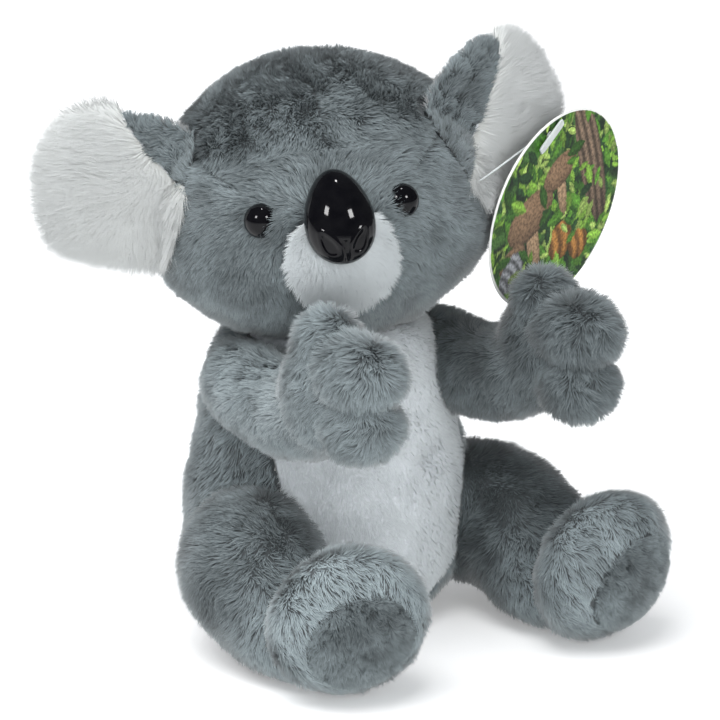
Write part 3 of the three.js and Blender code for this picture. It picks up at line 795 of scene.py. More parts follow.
# %% Head skin
def in_muzzle(local, margin=0.0):
    """True in the muzzle panel's oval, seen from the front of the head."""
    x, z = local[:, 0], local[:, 2] + muzzle_drop
    oval = (x / (muzzle_half_width - margin)) ** 2 + (z / (muzzle_half_height - margin)) ** 2
    return (oval < 1) & (local[:, 1] < 0)


def dart_distance(local):
    """How far a point of the face is from the dart that runs from the ear's root to the eye."""
    start = np.array([eye_spacing["right"] + 3 * mm, eye_rise + 8 * mm])
    end = np.array([head_half_width - 9 * mm, eye_rise + 19 * mm])
    at = np.stack([np.abs(local[:, 0]), local[:, 2]], -1)
    run = end - start
    t = np.clip(((at - start) @ run) / (run @ run), 0, 1)
    behind = np.where(local[:, 1] < 10 * mm, 0, 1)
    return np.linalg.norm(at - start - t[:, None] * run, axis=1) + behind


eye_places = [on_face(side * eye_spacing[name], eye_rise)[0] for name, side in sides.items()]


def near_eye(local):
    """1 close to the nose side of an eye and 0 away from it."""
    inner = [at * [0.78, 1, 1] - [0, 0, 1.5 * mm] for at in eye_places]
    return sum(bell(np.linalg.norm(local - at, axis=1), 3.6 * mm) for at in inner)


# %% Head skin with its hollows
dart_groove, eye_pad = 1.0 * mm, 2.4 * mm
rings = shape_head(ball_rings(150, 110), -skin_depth)
flat = rings.reshape(-1, 3)
hollow = np.where(in_muzzle(flat), muzzle_hollow, 0)
hollow = hollow + dart_groove * bell(dart_distance(flat), 1.6 * mm) - eye_pad * near_eye(flat)
flat -= unit(flat) * hollow[:, None]
flat[:] = off_floor(from_head(flat), neck_height + 0.5 * mm)
head_skin = finish_skin(
    "head_skin", closed_mesh("head_skin", rings), grey_cloth, "head", "grey_plush", "head_cover")


# %% Muzzle panel
def muzzle_rings(grow, around=72, count=26):
    """Rings of the muzzle's oval, from its middle outwards, on the face."""
    out = np.linspace(0, 1, count)[:, None] * muzzle_cloth_share
    angle = full_turn(around)[None]
    x = out * muzzle_half_width * np.cos(angle)
    z = out * muzzle_half_height * np.sin(angle) - muzzle_drop
    return np.stack([x, face_depth(x, z, grow), z], -1)


outer, inner = (muzzle_rings(-depth) for depth in muzzle_cloth_depths)
mesh = closed_mesh("muzzle_skin", from_head(np.concatenate([outer, inner[::-1]])))
muzzle_skin = finish_skin(
    "muzzle_skin", mesh, white_cloth, "head", "white_plush", "muzzle_panel")


# %% [markdown]
# ## Ears
# An ear is a flat pad, sewn on along a straight root. Its grey back and white front meet in a seam
# a little behind its middle, and on the upper side the back is folded over the front. So one
# block stands behind the seam and above the fold's edge: the back is the part of the pad inside
# it, and the front is the part outside it. Two boolean cuts make both from the same pad.

# %% Ear skins
def ear_frame(name):
    """The ear's turn and place in the toy's frame: x to its tip, y behind it, z along its root."""
    side, facing, rise = sides[name], ear_facing[name], ear_rise[name]
    behind = np.array([-side * math.sin(facing), math.cos(facing), 0])
    level = np.array([side * math.cos(facing), math.sin(facing), 0])
    reach = level * math.cos(rise) + [0, 0, math.sin(rise)]
    own = np.stack([reach, behind, np.cross(reach, behind)], -1)
    return head_matrix @ own, from_head(place(ear_root, side)[None])[0]


def to_ear(points, name):
    """Points of the toy's frame in an ear's own frame."""
    matrix, origin = ear_frame(name)
    return (points - origin) @ matrix


def from_ear(points, name):
    """Points of an ear's own frame in the toy's frame."""
    matrix, origin = ear_frame(name)
    return points @ matrix.T + origin


def ear_rings(name, grow):
    """The pad in its own frame, a limb that is thin across and wide over."""
    root = [-ear_root_depth, 0, sides[name] * ear_root_lift[name]]
    reach = ear_reach - ear_fringe[name]
    line = [root, [reach / 2, 0, 0], [reach, 0, 0]]
    thin = np.array(ear_thickness_shares) * ear_half_thickness
    wide = np.array(ear_width_shares) * ear_half_width
    return limb_rings(line, thin, wide, grow, 96, 60, bluntness=2.4)


def in_fold(name, local):
    """True above the edge of the grey fold, in the ear's frame."""
    root_rise, tip_reach, rim_rise = ear_fold[name]
    edge = np.interp(local[:, 0], [0, tip_reach], [root_rise, rim_rise])
    return (sides[name] * local[:, 2] > edge) & (local[:, 0] < tip_reach)


# %% Cutting the pad in two
def prism(name, corners, back, front):
    """A closed prism in the ear's frame: corners as (x, z), run from y = front to y = back."""
    count = len(corners)
    following = corners[1:] + corners[:1]
    area = sum(x0 * z1 - x1 * z0 for (x0, z0), (x1, z1) in zip(corners, following))
    corners = corners if area > 0 else corners[::-1]
    points = [(x, y, z) for y in (front, back) for x, z in corners]
    faces = [tuple(range(count)), tuple(range(2 * count - 1, count - 1, -1))]
    faces += [(i, i + count, (i + 1) % count + count, (i + 1) % count) for i in range(count)]
    return new_mesh(name, points, faces)


def combined(mesh, other, operation):
    """A mesh cut by, joined to or kept inside another one."""
    blank, tool = linked("blank", mesh), linked("tool", other)
    boolean = blank.modifiers.new("Boolean", "BOOLEAN")
    boolean.operation, boolean.object, boolean.solver = operation, tool, "EXACT"
    result = with_modifiers(blank, mesh.name)
    bpy.data.objects.remove(tool)
    return result


def grey_part(name, gap):
    """All that lies behind the ear's seam, or above the edge of its fold."""
    far = 2 * ear_reach
    square = [(-far, -far), (far, -far), (far, far), (-far, far)]
    box = prism("behind", square, far, ear_seam_back - gap)
    root_rise, tip_reach, rim_rise = ear_fold[name]
    edge = [(-far, root_rise - gap), (0, root_rise - gap), (tip_reach + gap, rim_rise - gap)]
    edge += [(tip_reach + gap, far), (-far, far)]
    fold = prism("fold", [(x, sides[name] * z) for x, z in edge], far / 2, -far / 2)
    return combined(box, fold, "UNION")


def ear_half(title, name, grow, front):
    """One half of an ear, cut at the seam and the fold, then pressed out of the head."""
    pad = closed_mesh(title, ear_rings(name, grow))
    gap = 0.3 * mm if front else 0
    half = combined(pad, grey_part(name, gap), "DIFFERENCE" if front else "INTERSECT")
    return moved(half, out_of_head(from_ear(points_of(half), name), -1.0 * mm))


# %% Both halves of both ears
ear_cloths = {"front": (white_cloth, "white_ear_pile"), "back": (grey_cloth, "grey_plush")}
ear_skins = {}
for name in sides:
    for half, (cloth, slot) in ear_cloths.items():
        node = f"ear_{half}_{name}"
        mesh = ear_half(node + "_skin", name, -ear_skin_depth, half == "front")
        ear_skins[node] = finish_skin(node + "_skin", mesh, cloth, "ear_" + name, slot, node)
print("ear skins", [len(skin.data.vertices) for skin in ear_skins.values()], "vertices")

# %% [markdown]
# ## Arms
# The sleeve, the palm and the three lobes of the mitten are blanks that overlap, fused by a voxel
# remesh. The lobes are the thumb, which stands up, and two finger lobes with a crease between.

# %% Arm skins
def arm_mesh(name, side, grow, voxel, rounds):
    """Sleeve and lobes fused to one skin and pressed out of the body."""
    root, hand = place(shoulder, side), place(paw, side)
    inboard = root + np.array([-side * arm_radius, arm_radius / 2, 0])
    elbow = (root + hand) / 2 + np.array([0, 0, -arm_sag])
    line = [inboard, root, elbow, hand]
    widths, heights = (np.array(s) * arm_radius for s in (arm_width_shares, arm_height_shares))
    blanks = [limb_rings(line, widths, heights, grow)]
    for forward, rise, size in paw_lobe_shares.values():
        half = np.array(size) * paw_half_size + grow
        centre = hand + np.array([0, -forward, rise]) * paw_half_size
        blanks.append(ball_rings(48, 30) * half + centre)
    mesh = fused(closed_mesh(name, *blanks), voxel, rounds)
    return moved(mesh, out_of_body(points_of(mesh), grow + 0.3 * mm))


arm_voxel, arm_rounds = 1.3 * mm, 24
arm_skins = {}
for name, side in sides.items():
    title = f"arm_{name}_skin"
    mesh = arm_mesh(title, side, -skin_depth, arm_voxel, arm_rounds)
    arm_skins[name] = finish_skin(
        title, mesh, grey_cloth, "arm_" + name, "grey_plush", "arm_cover_" + name)
    print(title, len(mesh.vertices), "vertices")

# %% [markdown]
# ## Legs and soles
# The shin and the foot are fused in the same way. The sole is a separate round panel, so the foot
# is cut flat there and the panel is a low dome on that flat.

# %% Leg skins
def foot_frame(side):
    """The foot's turn and place: y points back into it, away from the sole."""
    return turn("Z", side * foot_splay) @ turn("X", foot_lean), place(foot, side)


def to_foot(points, side):
    """Points of the toy's frame in a foot's own frame."""
    matrix, centre = foot_frame(side)
    return (points - centre) @ matrix


def from_foot(points, side):
    """Points of a foot's own frame in the toy's frame."""
    matrix, centre = foot_frame(side)
    return points @ matrix.T + centre


def leg_mesh(name, side, grow, voxel, rounds):
    """Shin and foot fused, flat at the sole, off the floor and out of the body."""
    root = place(hip, side)
    inboard = root + np.array([-side * thigh_radius / 2, 0, 0])
    line = [inboard, *(place(station, side) for station in (knee, ankle, foot))]
    widths, heights = (np.array(s) * thigh_radius for s in (leg_width_shares, leg_height_shares))
    foot_ball = from_foot(ball_rings(56, 36) * (foot_half_size + grow), side)
    blanks = closed_mesh(name, limb_rings(line, widths, heights, grow), foot_ball)
    mesh = fused(blanks, voxel, rounds)
    local = to_foot(out_of_body(points_of(mesh), grow + 0.3 * mm), side)
    local[:, 1] = np.maximum(local[:, 1], -sole_depth + 0.3 * mm)
    return moved(mesh, off_floor(from_foot(local, side), 0.3 * mm))


# %% Sole caps
def sole_rings(side, grow, around=64, count=24):
    """The cap of the foot's ball beyond the sole's seam, with its flat back."""
    half = foot_half_size + grow
    edge = math.sqrt(1 - (sole_depth / half[1]) ** 2)
    out = np.linspace(0, 1, count)[:, None] * edge
    angle = full_turn(around)[None]
    x, z = out * half[0] * np.cos(angle), out * half[2] * np.sin(angle)
    cap = np.stack([x, -half[1] * np.sqrt(1 - out**2) + 0 * angle, z], -1)
    back = np.stack([x, np.full_like(x, -sole_depth), z], -1)
    rings = from_foot(np.concatenate([cap, back[::-1]]), side)
    flat = rings.reshape(-1, 3)
    flat[:] = off_floor(flat, 0.3 * mm)
    return rings


# %% Both legs
leg_voxel, leg_rounds = 1.5 * mm, 6
leg_skins, sole_skins = {}, {}
for name, side in sides.items():
    title = f"leg_{name}_skin"
    mesh = leg_mesh(title, side, -skin_depth, leg_voxel, leg_rounds)
    leg_skins[name] = finish_skin(
        title, mesh, grey_cloth, "leg_" + name, "grey_plush", "leg_cover_" + name)
    print(title, len(mesh.vertices), "vertices")
    title = f"sole_{name}_skin"
    mesh = closed_mesh(title, sole_rings(side, -skin_depth))
    sole_skins[name] = finish_skin(
        title, mesh, grey_cloth, "leg_" + name, "grey_plush", "sole_panel_" + name)

# %% [markdown]
# ## What is inside
# Nothing of the filling shows, but the toy is an assembly, so each bag of fibre and the pouch of
# pellets in the seat is a smooth closed form a little inside its cover.

# %% Fillings and pouch
def add_filling(name, mesh, body, node, material=fibre, slot="fibre_filling"):
    """A filling is a stuffed piece too, with nothing on it."""
    finish_skin(name, mesh, material, body, slot, node)


pouch_radius, pouch_half_height, clearance = 24 * mm, 9 * mm, 1 * mm
inside_floor = wall - floor_press + 0.3 * mm
pouch_middle = inside_floor + pouch_half_height - wall
pouch = ball_rings(48, 24) * [pouch_radius, pouch_radius, pouch_half_height]
pouch = pouch + [0, 0, pouch_middle]
pouch[..., 2] = np.maximum(pouch[..., 2], inside_floor)
add_filling("pellet_pouch", closed_mesh("pellet_pouch", pouch), "body", "seat_pellet_pouch",
            pouch_cloth, "pouch_cloth")

rings = body_skin_points(-filling_depth, 72, 48)
over_pouch = 1 - (np.hypot(rings[..., 0], rings[..., 1]) / (pouch_radius + clearance)) ** 2
pouch_top = pouch_middle + (pouch_half_height + clearance) * np.sqrt(over_pouch.clip(0))
rings[..., 2] = np.where(over_pouch > 0, np.maximum(rings[..., 2], pouch_top), rings[..., 2])
add_filling("body_fibre", closed_mesh("body_fibre", rings), "body", "body_filling")

head_filling_depth, limb_filling_depth = filling_depth + 2.5 * mm, filling_depth + 0.6 * mm
rings = shape_head(ball_rings(72, 48), -head_filling_depth)
flat = rings.reshape(-1, 3)
flat[:] = off_floor(from_head(flat), neck_height + 1.5 * mm)
add_filling("head_fibre", closed_mesh("head_fibre", rings), "head", "head_filling")
for name, side in sides.items():
    for limb, limb_mesh in (("arm", arm_mesh), ("leg", leg_mesh)):
        title = f"{limb}_{name}_fibre"
        mesh = limb_mesh(title, side, -limb_filling_depth, 2 * mm, 6)
        add_filling(title, mesh, f"{limb}_{name}", f"{limb}_filling_{name}")
print("pouch", round(1000 * pouch_radius * 2), "mm wide,", round(1000 * inside_floor, 1), "mm up")

# %% [markdown]
# ## Eyes and nose
# They are moulded in glossy black plastic. An eye is a ball and the nose an egg that narrows
# upwards, with two teardrop nostrils. Their backs are pressed to the cloth, a little below the
# pile's surface, and a shank goes on through the cloth to a washer.

# %% Moulded eyes, nose and washers
shank_radius, washer_seat, washer_thickness = 1.6 * mm, 1 * mm, 1.2 * mm
shank_start, shank_end = -1 * mm, -(wall + washer_seat + washer_thickness + 2 * mm)
washer_inner, washer_outer = shank_radius + 0.3 * mm, 5 * mm


def egg_rings():
    """The nose in its own frame: an egg, narrower above, with two slanted nostrils low on its
    front. A nostril is a teardrop hollow in a small raised lip; its edge is a steep step."""
    nostril_depth, lip, groove_depth, groove_spread = 1.1 * mm, 0.3 * mm, 0.7 * mm, 0.7 * mm
    points = ball_rings(150, 120)[..., [0, 2, 1]] * [1, 1, -1] * nose_half
    points[..., 0] *= 1 - nose_taper_share * points[..., 1] / nose_half[1]
    for side in sides.values():
        away = (points[..., :2] - [side * nostril_spacing, -nostril_drop]) / nostril_half
        across = away[..., 0] - 0.9 * side * away[..., 1]
        edge = np.hypot(across * (1 + 0.35 * away[..., 1]), away[..., 1])
        hollow = nostril_depth * (0.5 - 0.5 * np.tanh((edge - 1) / 0.2))
        hollow = hollow - lip * bell(edge - 1.5, 0.35)
        points[..., 2] -= np.where(points[..., 2] > 0, hollow, 0)
    groove = groove_depth * bell(points[..., 0], groove_spread) * (points[..., 1] < -nostril_drop)
    points[..., 2] -= np.where(points[..., 2] > 0, groove, 0)
    return points


def shank_rings(steps=24):
    """A round pin behind the cloth, square at both ends."""
    angle = full_turn(steps)
    circle = np.stack([np.cos(angle), np.sin(angle), 0 * angle], -1) * shank_radius
    stations = [(0, shank_end), (1, shank_end), (1, shank_start), (0, shank_start)]
    return np.stack([circle * full + [0, 0, level] for full, level in stations])


def rounded_square(wave):
    """A cosine or sine swollen towards a square wave, which rounds a rectangle's corners."""
    return np.sign(wave) * np.abs(wave) ** 0.4


def washer_mesh(name, matrix, at):
    """A flat ring, its section a small rounded rectangle turned round the shank."""
    around, section = full_turn(48)[None], full_turn(16)[:, None]
    radius = (washer_inner + washer_outer) / 2 + (
        washer_outer - washer_inner) / 2 * rounded_square(np.cos(section))
    level = -(wall + washer_seat + washer_thickness / 2)
    level = level + washer_thickness / 2 * rounded_square(np.sin(section))
    ring = [radius * np.cos(around), radius * np.sin(around), level + 0 * around]
    return looped_mesh(name, from_head(np.stack(ring, -1) @ matrix.T + at))


def add_moulding(name, own, x, z):
    """Presses a moulding's back to the cloth, adds its shank and seats its washer."""
    matrix, at = frame_on(*on_face(x, z))
    points = own @ matrix.T + at
    flat = points.reshape(-1, 3)
    flat[:, 1] = np.minimum(flat[:, 1], face_depth(flat[:, 0], flat[:, 2]) + pile_sink)
    shank = from_head(shank_rings() @ matrix.T + at)
    title = name + "_moulding"
    moulding = shown(title, closed_mesh(title, from_head(points), shank))
    dress(moulding, black_moulding, "head", "black_moulding", name)
    title = name + "_lock_washer"
    washer = shown(title, washer_mesh(title, matrix, at))
    dress(washer, washer_plastic, "head", "washer_plastic", name + "_washer")
    print(name, "faces the way", np.round(head_matrix @ matrix[:, 2], 2))


add_moulding("nose", egg_rings(), 0, nose_rise)
eye_ball = ball_rings(64, 48)[..., [0, 2, 1]] * [1, 1, -1] * eye_radius - [0, 0, pile_sink]
for name, side in sides.items():
    add_moulding("eye_" + name, eye_ball, side * eye_spacing[name], eye_rise)

# %% [markdown]
# ## The card tag
# An oval of glossy card hangs at the left ear on a plastic fastener. Its print is a generic one of
# a forest floor: leaves, a bark trunk, toadstools, gourds and banded stones. It is painted by
# formulas on the card's own fine grid. Each leaf is a lens with a midrib, laid over the ones
# before, and each of the other things is an oval with rounded shading. The plain rim and back
# show the board, and only the print has a grain.

# %% Leaves and ovals
card_matrix = turn("Z", card_turn) @ turn("X", card_lean) @ turn("Y", card_roll)
card_hole = np.array([0, 0, card_hole_share * card_half_height])
printed_share, board_white = 0.982, np.array([0.8, 0.8, 0.78])


def leaf(colours, points, centre, angle, length, width, shade):
    """Lays a leaf over a painting: its lens takes the shade, paler at its midrib and veins."""
    along = (points - centre) @ [math.cos(angle), math.sin(angle)] / length
    across = (points - centre) @ [-math.sin(angle), math.cos(angle)] / width
    lens = 1 - along**2 - np.abs(across)
    veins = 0.5 + 0.5 * np.cos(14 * (along + 0.6 * np.abs(across)))
    midrib = bell(across, 0.12)
    light = 0.75 + 0.25 * lens + 0.25 * midrib + 0.12 * veins - 0.2 * (across > 0)
    inside = (lens > 0)[:, None]
    return np.where(inside, np.array(shade) * light[:, None], colours)


def oval(colours, points, centre, half, shade, bands=0.0, turned=0.0):
    """Lays an oval over a painting: rounded by its shading, with bands across it."""
    cosine, sine = math.cos(turned), math.sin(turned)
    own = (points - centre * mm) @ np.array([[cosine, -sine], [sine, cosine]]) / (half * mm)
    inside = 1 - (own**2).sum(1)
    light = 0.45 + 0.55 * np.sqrt(inside.clip(0)) + 0.25 * own[:, 1]
    stripe = 0.5 + 0.5 * np.cos(bands * (own[:, 0] + 0.3 * own[:, 1] ** 2))
    light = light * (1 - 0.75 * stripe if bands else 1 - 0 * stripe)
    return np.where((inside > 0)[:, None], np.array(shade) * light[:, None], colours)


# %% Layout of the print
shadow_green, lit_green = np.array([0.008, 0.022, 0.01]), np.array([0.05, 0.13, 0.02])
leaf_greens = np.array([(0.05, 0.16, 0.02), (0.11, 0.3, 0.03), (0.26, 0.5, 0.06),
                        (0.02, 0.07, 0.02), (0.42, 0.6, 0.14)])
cap_brown, stem_tan, bark_brown = (0.26, 0.16, 0.09), (0.42, 0.28, 0.16), (0.26, 0.18, 0.12)
gourd_orange, stone_grey = (0.55, 0.25, 0.06), (0.5, 0.52, 0.55)


def leaves(colours, points, rng, count, size):
    """Lays leaves at random places of the card, each as a length between the two of size."""
    for _ in range(count):
        centre = rng.uniform(-1, 1, 2) * [card_half_width, card_half_height]
        long = rng.uniform(*size) * mm
        shade = leaf_greens[rng.integers(len(leaf_greens))] * rng.uniform(0.5, 1.2)
        colours = leaf(colours, points, centre, rng.uniform(0, np.pi), long, long * 0.4, shade)
    return colours


def card_print(points):
    """Colours of the print at points of the card, in metres across and up. Ovals are given in
    millimetres: their middle, half sizes, shade, bands and turn."""
    rng = np.random.default_rng(7)
    shadow = 0.5 + 0.5 * np.tanh(2 * waves(np.pad(points, ((0, 0), (0, 1))), 9 * mm, 3))
    colours = leaves(shadow_green + shadow[:, None] * lit_green, points, rng, 520, (1.8, 4.5))
    ovals = [((20, 7), (6, 25), bark_brown, 12.0, 0.12)]
    for across, up, cap in ((-13, 4, 12.5), (4, 11, 9), (-24, -5, 7)):
        ovals.append(((across, up - 0.8 * cap), (0.26 * cap, 0.95 * cap), stem_tan))
        ovals.append(((across, up), (cap, 0.55 * cap), cap_brown, 0.0, 0.15))
    for across, up, size in ((1, -12, 6.5), (10, -18, 5)):
        ovals.append(((across, up), (size, 0.95 * size), gourd_orange, 8.0))
    for across, up, size in ((-25, -9, 6.5), (-17, -17, 6)):
        ovals.append(((across, up), (1.1 * size, 0.8 * size), stone_grey, 14.0, 0.5))
    for centre, half, *finish in ovals:
        colours = oval(colours, points, np.array(centre), np.array(half), *finish)
    return leaves(colours, points, rng, 70, (2.5, 5.0)).clip(0, 1)


# %% Sheet of the card
def card_mesh(name, around=300, count=100, plain=6):
    """The oval as rings round its hole: front and back, with a thin rounded edge. Rings run from
    the hole's rim to the oval's, so the grid has no seam across the print."""
    circle = np.stack([np.cos(full_turn(around)), np.sin(full_turn(around))], -1)
    half = np.array([card_half_width, card_half_height])
    hole, rim = circle * card_hole_radius + card_hole[[0, 2]], circle * half
    sheets = []
    for way, steps in ((-1, count), (1, plain)):
        out = np.sort(np.append(np.linspace(0, 1, steps - 2), [0.008, 0.992]))[:, None, None]
        thick = card_thickness / 2 * np.where((out == 0) | (out == 1), 0.4, 1.0)
        flat = hole * (1 - out) + rim * out
        level = -card_thickness / 2 + way * thick + 0 * flat[..., :1]
        sheets.append(np.concatenate([flat[..., :1], level, flat[..., 1:]], -1))
    loop = np.concatenate([sheets[0], sheets[1][::-1]])
    mesh = looped_mesh(name, loop @ card_matrix.T + card_centre)
    front = np.repeat([1, 0], [count * around, plain * around])
    picture_points = loop.reshape(-1, 3)[:, [0, 2]]
    printed = (front == 1) & (np.linalg.norm(picture_points / half, axis=1) < printed_share)
    picture = np.where(printed[:, None], card_print(picture_points), board_white)
    layer = mesh.color_attributes.new("print", "FLOAT_COLOR", "POINT")
    colours = np.column_stack([picture, printed]).astype(np.float32)
    layer.data.foreach_set("color", colours.ravel())
    return mesh


# %% Card material
def card_material():
    """Coated card: the painted print, broken up by a fine grain as printed foliage is. The
    attribute's alpha is 1 on the print and 0 on the plain board, which stays without grain."""
    material, tree, principled = shader("printed_card", 0.45, Specular_IOR_Level=0.12)
    painted = add_node(tree, "Attribute", {}, attribute_name="print").outputs
    grain = ramp(tree, [(0.36, 0.5), (0.5, 0.85), (0.64, 1.15)], grain_of(tree, 0.9 * mm, 3.0))
    speckled = mixed(tree, "MULTIPLY", painted["Alpha"], painted["Color"], grain)
    tree.links.new(speckled, principled.inputs["Base Color"])
    return material


card = shown("oval_card", card_mesh("oval_card"))
dress(card, card_material(), "tag", "printed_card", "hang_tag")
print("card", round(2000 * card_half_width), "by", round(2000 * card_half_height), "mm")

# %% [markdown]
# ## The plastic fastener
# A ribbed paddle lies across the front of the card, a thin filament runs from its middle through
# the hole and along to the ear's seam, and a crossbar holds it behind the cloth.

# %% Places of the fastener
filament_radius, standoff = 0.3 * mm, 1.5 * mm
paddle_half = np.array([6.6, 0.5, 1.3]) * mm
paddle_angle = math.radians(18)
paddle_front = -card_thickness - 0.3 * mm - paddle_half[1]
crossbar_half_length, crossbar_radius, crossbar_depth = 3.5 * mm, 0.5 * mm, 4.2 * mm
tag_seat = on_face(45 * mm, 3 * mm)


def on_card(x, y, z):
    """A point beside the card's hole, in the toy's frame."""
    return (np.array([x, y, z]) + card_hole) @ card_matrix.T + card_centre


def at_seat(depth):
    """A point under the cloth where the crossbar sits."""
    at, out = tag_seat
    return from_head((at - depth * out)[None])[0]


# %% Paddle, filament and crossbar
def paddle_rings(ribs=5, count=40, around=64):
    """A flat bar with round ends and lengthwise ribs on both faces."""
    along = (1 - np.cos(np.linspace(0, np.pi, count))) - 1
    end = (1 - np.abs(along) ** 6) ** (1 / 6)
    angle = full_turn(around)
    across, over = np.cos(angle), np.sign(np.sin(angle)) * np.abs(np.sin(angle)) ** 0.35
    rib = 1 + 0.16 * np.cos(np.pi * ribs * across)
    points = np.stack([
        np.broadcast_to(along[:, None] * paddle_half[0], (count, around)),
        end[:, None] * over * rib * paddle_half[1] * 0.86,
        end[:, None] * across * paddle_half[2]], -1) @ turn("Y", -paddle_angle).T
    return (points + [0, paddle_front, 0] + card_hole) @ card_matrix.T + card_centre


def round_rod(line, radius, around, rings, bluntness):
    """A rod of one radius along a line."""
    shares = np.full(3, radius)
    return limb_rings(line, shares, shares, 0, around, rings, bluntness)


line = [on_card(0, paddle_front, 0), on_card(0, 0, 0), on_card(0, standoff, 0),
        at_seat(-standoff), at_seat(crossbar_depth / 2), at_seat(crossbar_depth)]
filament = round_rod(line, filament_radius, 12, 60, 12)
bar_line = [at_seat(crossbar_depth) + head_matrix @ [0, 0, way * crossbar_half_length]
            for way in (-1, 0.02, 1)]
bar_line = [point + [bend * 1e-5, 0, 0] for point, bend in zip(bar_line, (-1, 0, 1))]
bar = round_rod(bar_line, crossbar_radius, 16, 12, 6)
fastener = shown("ear_fastener", closed_mesh("ear_fastener", paddle_rings(), filament, bar))
dress(fastener, clear_plastic, "head", "clear_fastener", "tag_fastener")
run, _ = curve_at(line, np.linspace(0, 1, 200))
print("filament", round(1000 * np.linalg.norm(np.diff(run, axis=0), axis=1).sum(), 1), "mm long")


# %% [markdown]
# ## The nap of each piece
# Plush is cut so that its pile runs down the toy: from the crown over the cheeks, down the body,
# from the shoulder to the paw and from the hip to the foot. These rules give that way for every
# root, and the hair builder lays it on the skin.

# %% Nap of the head
def ease(value, low, high):
    """0 below low, 1 above high and smooth between."""
    t = np.clip((value - low) / (high - low), 0, 1)
    return t * t * (3 - 2 * t)


def head_nap(points):
    """Forward over the crown, then down and outwards, and away from the muzzle near it."""
    local = to_head(points)
    sideways, none = 1.1 * local[:, 0] / head_half_width, 0 * local[:, 0]
    way = np.stack([sideways, 0.3 + none, -1 + none], -1)
    crown = ease(local[:, 2], 14 * mm, 30 * mm)[:, None]
    way = way * (1 - crown) + crown * np.array([0, -1, -0.25])
    away = np.stack([local[:, 0], none, local[:, 2] + muzzle_drop], -1)
    reach = 24 * mm + 14 * mm * ease(local[:, 2], -6 * mm, 8 * mm)
    near = bell(np.linalg.norm(away, axis=1) / reach, 1)[:, None] * (local[:, 1:2] < 0)
    return (unit(way) * (1 - near) + unit(away) * near) @ head_matrix.T


def brow(points):
    """1 on the brow and crown, above the darts, and 0 on the cheeks."""
    local = to_head(points)
    edge = 9 * mm + 0.3 * np.abs(local[:, 0])
    return ease(local[:, 2] - edge, -3 * mm, 5 * mm)


def clear_of_face_parts(points, normals):
    """False under the eyes, the nose, the muzzle panel and at the level neck."""
    local = to_head(points)
    clear = ~in_muzzle(local, 2.2 * mm) & (normals[:, 2] > -0.97)
    for place_of_eye in eye_places:
        clear &= np.linalg.norm(local - place_of_eye, axis=1) > eye_radius - 1.2 * mm
    for name in sides:
        own = to_ear(points, name)
        clear &= (own[:, 0] < -4 * mm) | (np.abs(own[:, 1:]) > [4.5 * mm, ear_half_width]).any(1)
    return clear & (points[:, 2] > neck_height + 0.7 * mm)


def head_pile_height(points):
    """Shorter along the darts and a little longer round the eyes."""
    local = to_head(points)
    return 1 + 0.15 * near_eye(local) - 0.7 * bell(dart_distance(local), 1.2 * mm)


def head_painted_shade(points):
    """Painted shade: darker on the brow, where the pile stands up, on the cheeks and most on the
    right one, along the darts, and below the cheeks.
    """
    local = to_head(points)
    chin = ease(-local[:, 2], 24 * mm, 38 * mm)
    cheek = 1 - brow(points)
    inner = bell(np.hypot(local[:, 0] + 20 * mm, local[:, 2]), 17 * mm)
    dart = bell(dart_distance(local), 1 * mm)
    return -0.18 * brow(points) - (0.12 + 0.14 * inner) * cheek - 0.12 * chin - 0.15 * dart


# %% Roots and pile of the head
grey_length, fine_width = 3.7 * mm, 0.24 * mm
roots_drawn = {
    "head right": 194000, "head left": 189000, "head back": 104000, "muzzle": 66000,
    "half of body": 76000, "belly": 86000, "arm": 53000, "leg": 50000, "sole": 25000,
    "ear front": 60000, "ear back": 20000}
back_of_head = 8 * mm
head_parts = {
    "right": lambda local: (local[:, 1] < back_of_head) & (local[:, 0] < 0),
    "left": lambda local: (local[:, 1] < back_of_head) & (local[:, 0] >= 0),
    "back": lambda local: local[:, 1] >= back_of_head,
}
# Each part of the head's pile takes painted shade on its brow, cheeks, darts and chin
for seed, (title, part) in enumerate(head_parts.items()):
    grow_pile(
        f"head_pile_{title}", head_skin, "head", "grey_plush", grey_pile,
        roots_drawn[f"head {title}"], head_nap, grey_length, height=head_pile_height,
        shade=head_painted_shade, unruly=0.25, seed=100 + 20 * seed,
        tilt=lambda points: -8 * brow(points) - 14 * near_eye(to_head(points)),
        where=lambda roots, normals: clear_of_face_parts(roots, normals) & part(to_head(roots)))


# %% Pile of the muzzle
def muzzle_nap(points):
    """Out from under the nose to the panel's edge."""
    local = to_head(points)
    away = np.stack([local[:, 0], -3 * mm + 0 * local[:, 0], local[:, 2] - nose_rise], -1)
    return unit(away) @ head_matrix.T


def clear_of_nose(points, normals):
    """On the panel's face, and not under the nose."""
    local = to_head(points)
    x, z = local[:, 0], local[:, 2] - nose_rise
    half_width, half_height = nose_half[:2] - 0.8 * mm
    outward = (normals @ head_matrix)[:, 1] < 0.3
    beside = (x / half_width) ** 2 + (z / half_height) ** 2 > 1
    return beside & outward & in_muzzle(local, 2.6 * mm)


grow_pile("muzzle_pile", muzzle_skin, "head", "white_plush", white_pile, roots_drawn["muzzle"],
          muzzle_nap, 4.8 * mm, width=fine_width, lean=48, cling=0.5, unruly=0.2, hugging=False,
          underside=False, where=clear_of_nose, seed=180)


# %% Pile of the body and the belly
def down(points):
    """Straight down."""
    return np.broadcast_to([0, 0, -1.0], points.shape)


def bare_body(points, in_front):
    """True on the front or the back of the body, off the belly, the seat and the neck."""
    between = (points[:, 2] > 1.5 * mm) & (points[:, 2] < neck_height - 1 * mm)
    return ((points[:, 1] < 6 * mm) == in_front) & between & ~in_belly(points, -0.3 * mm)


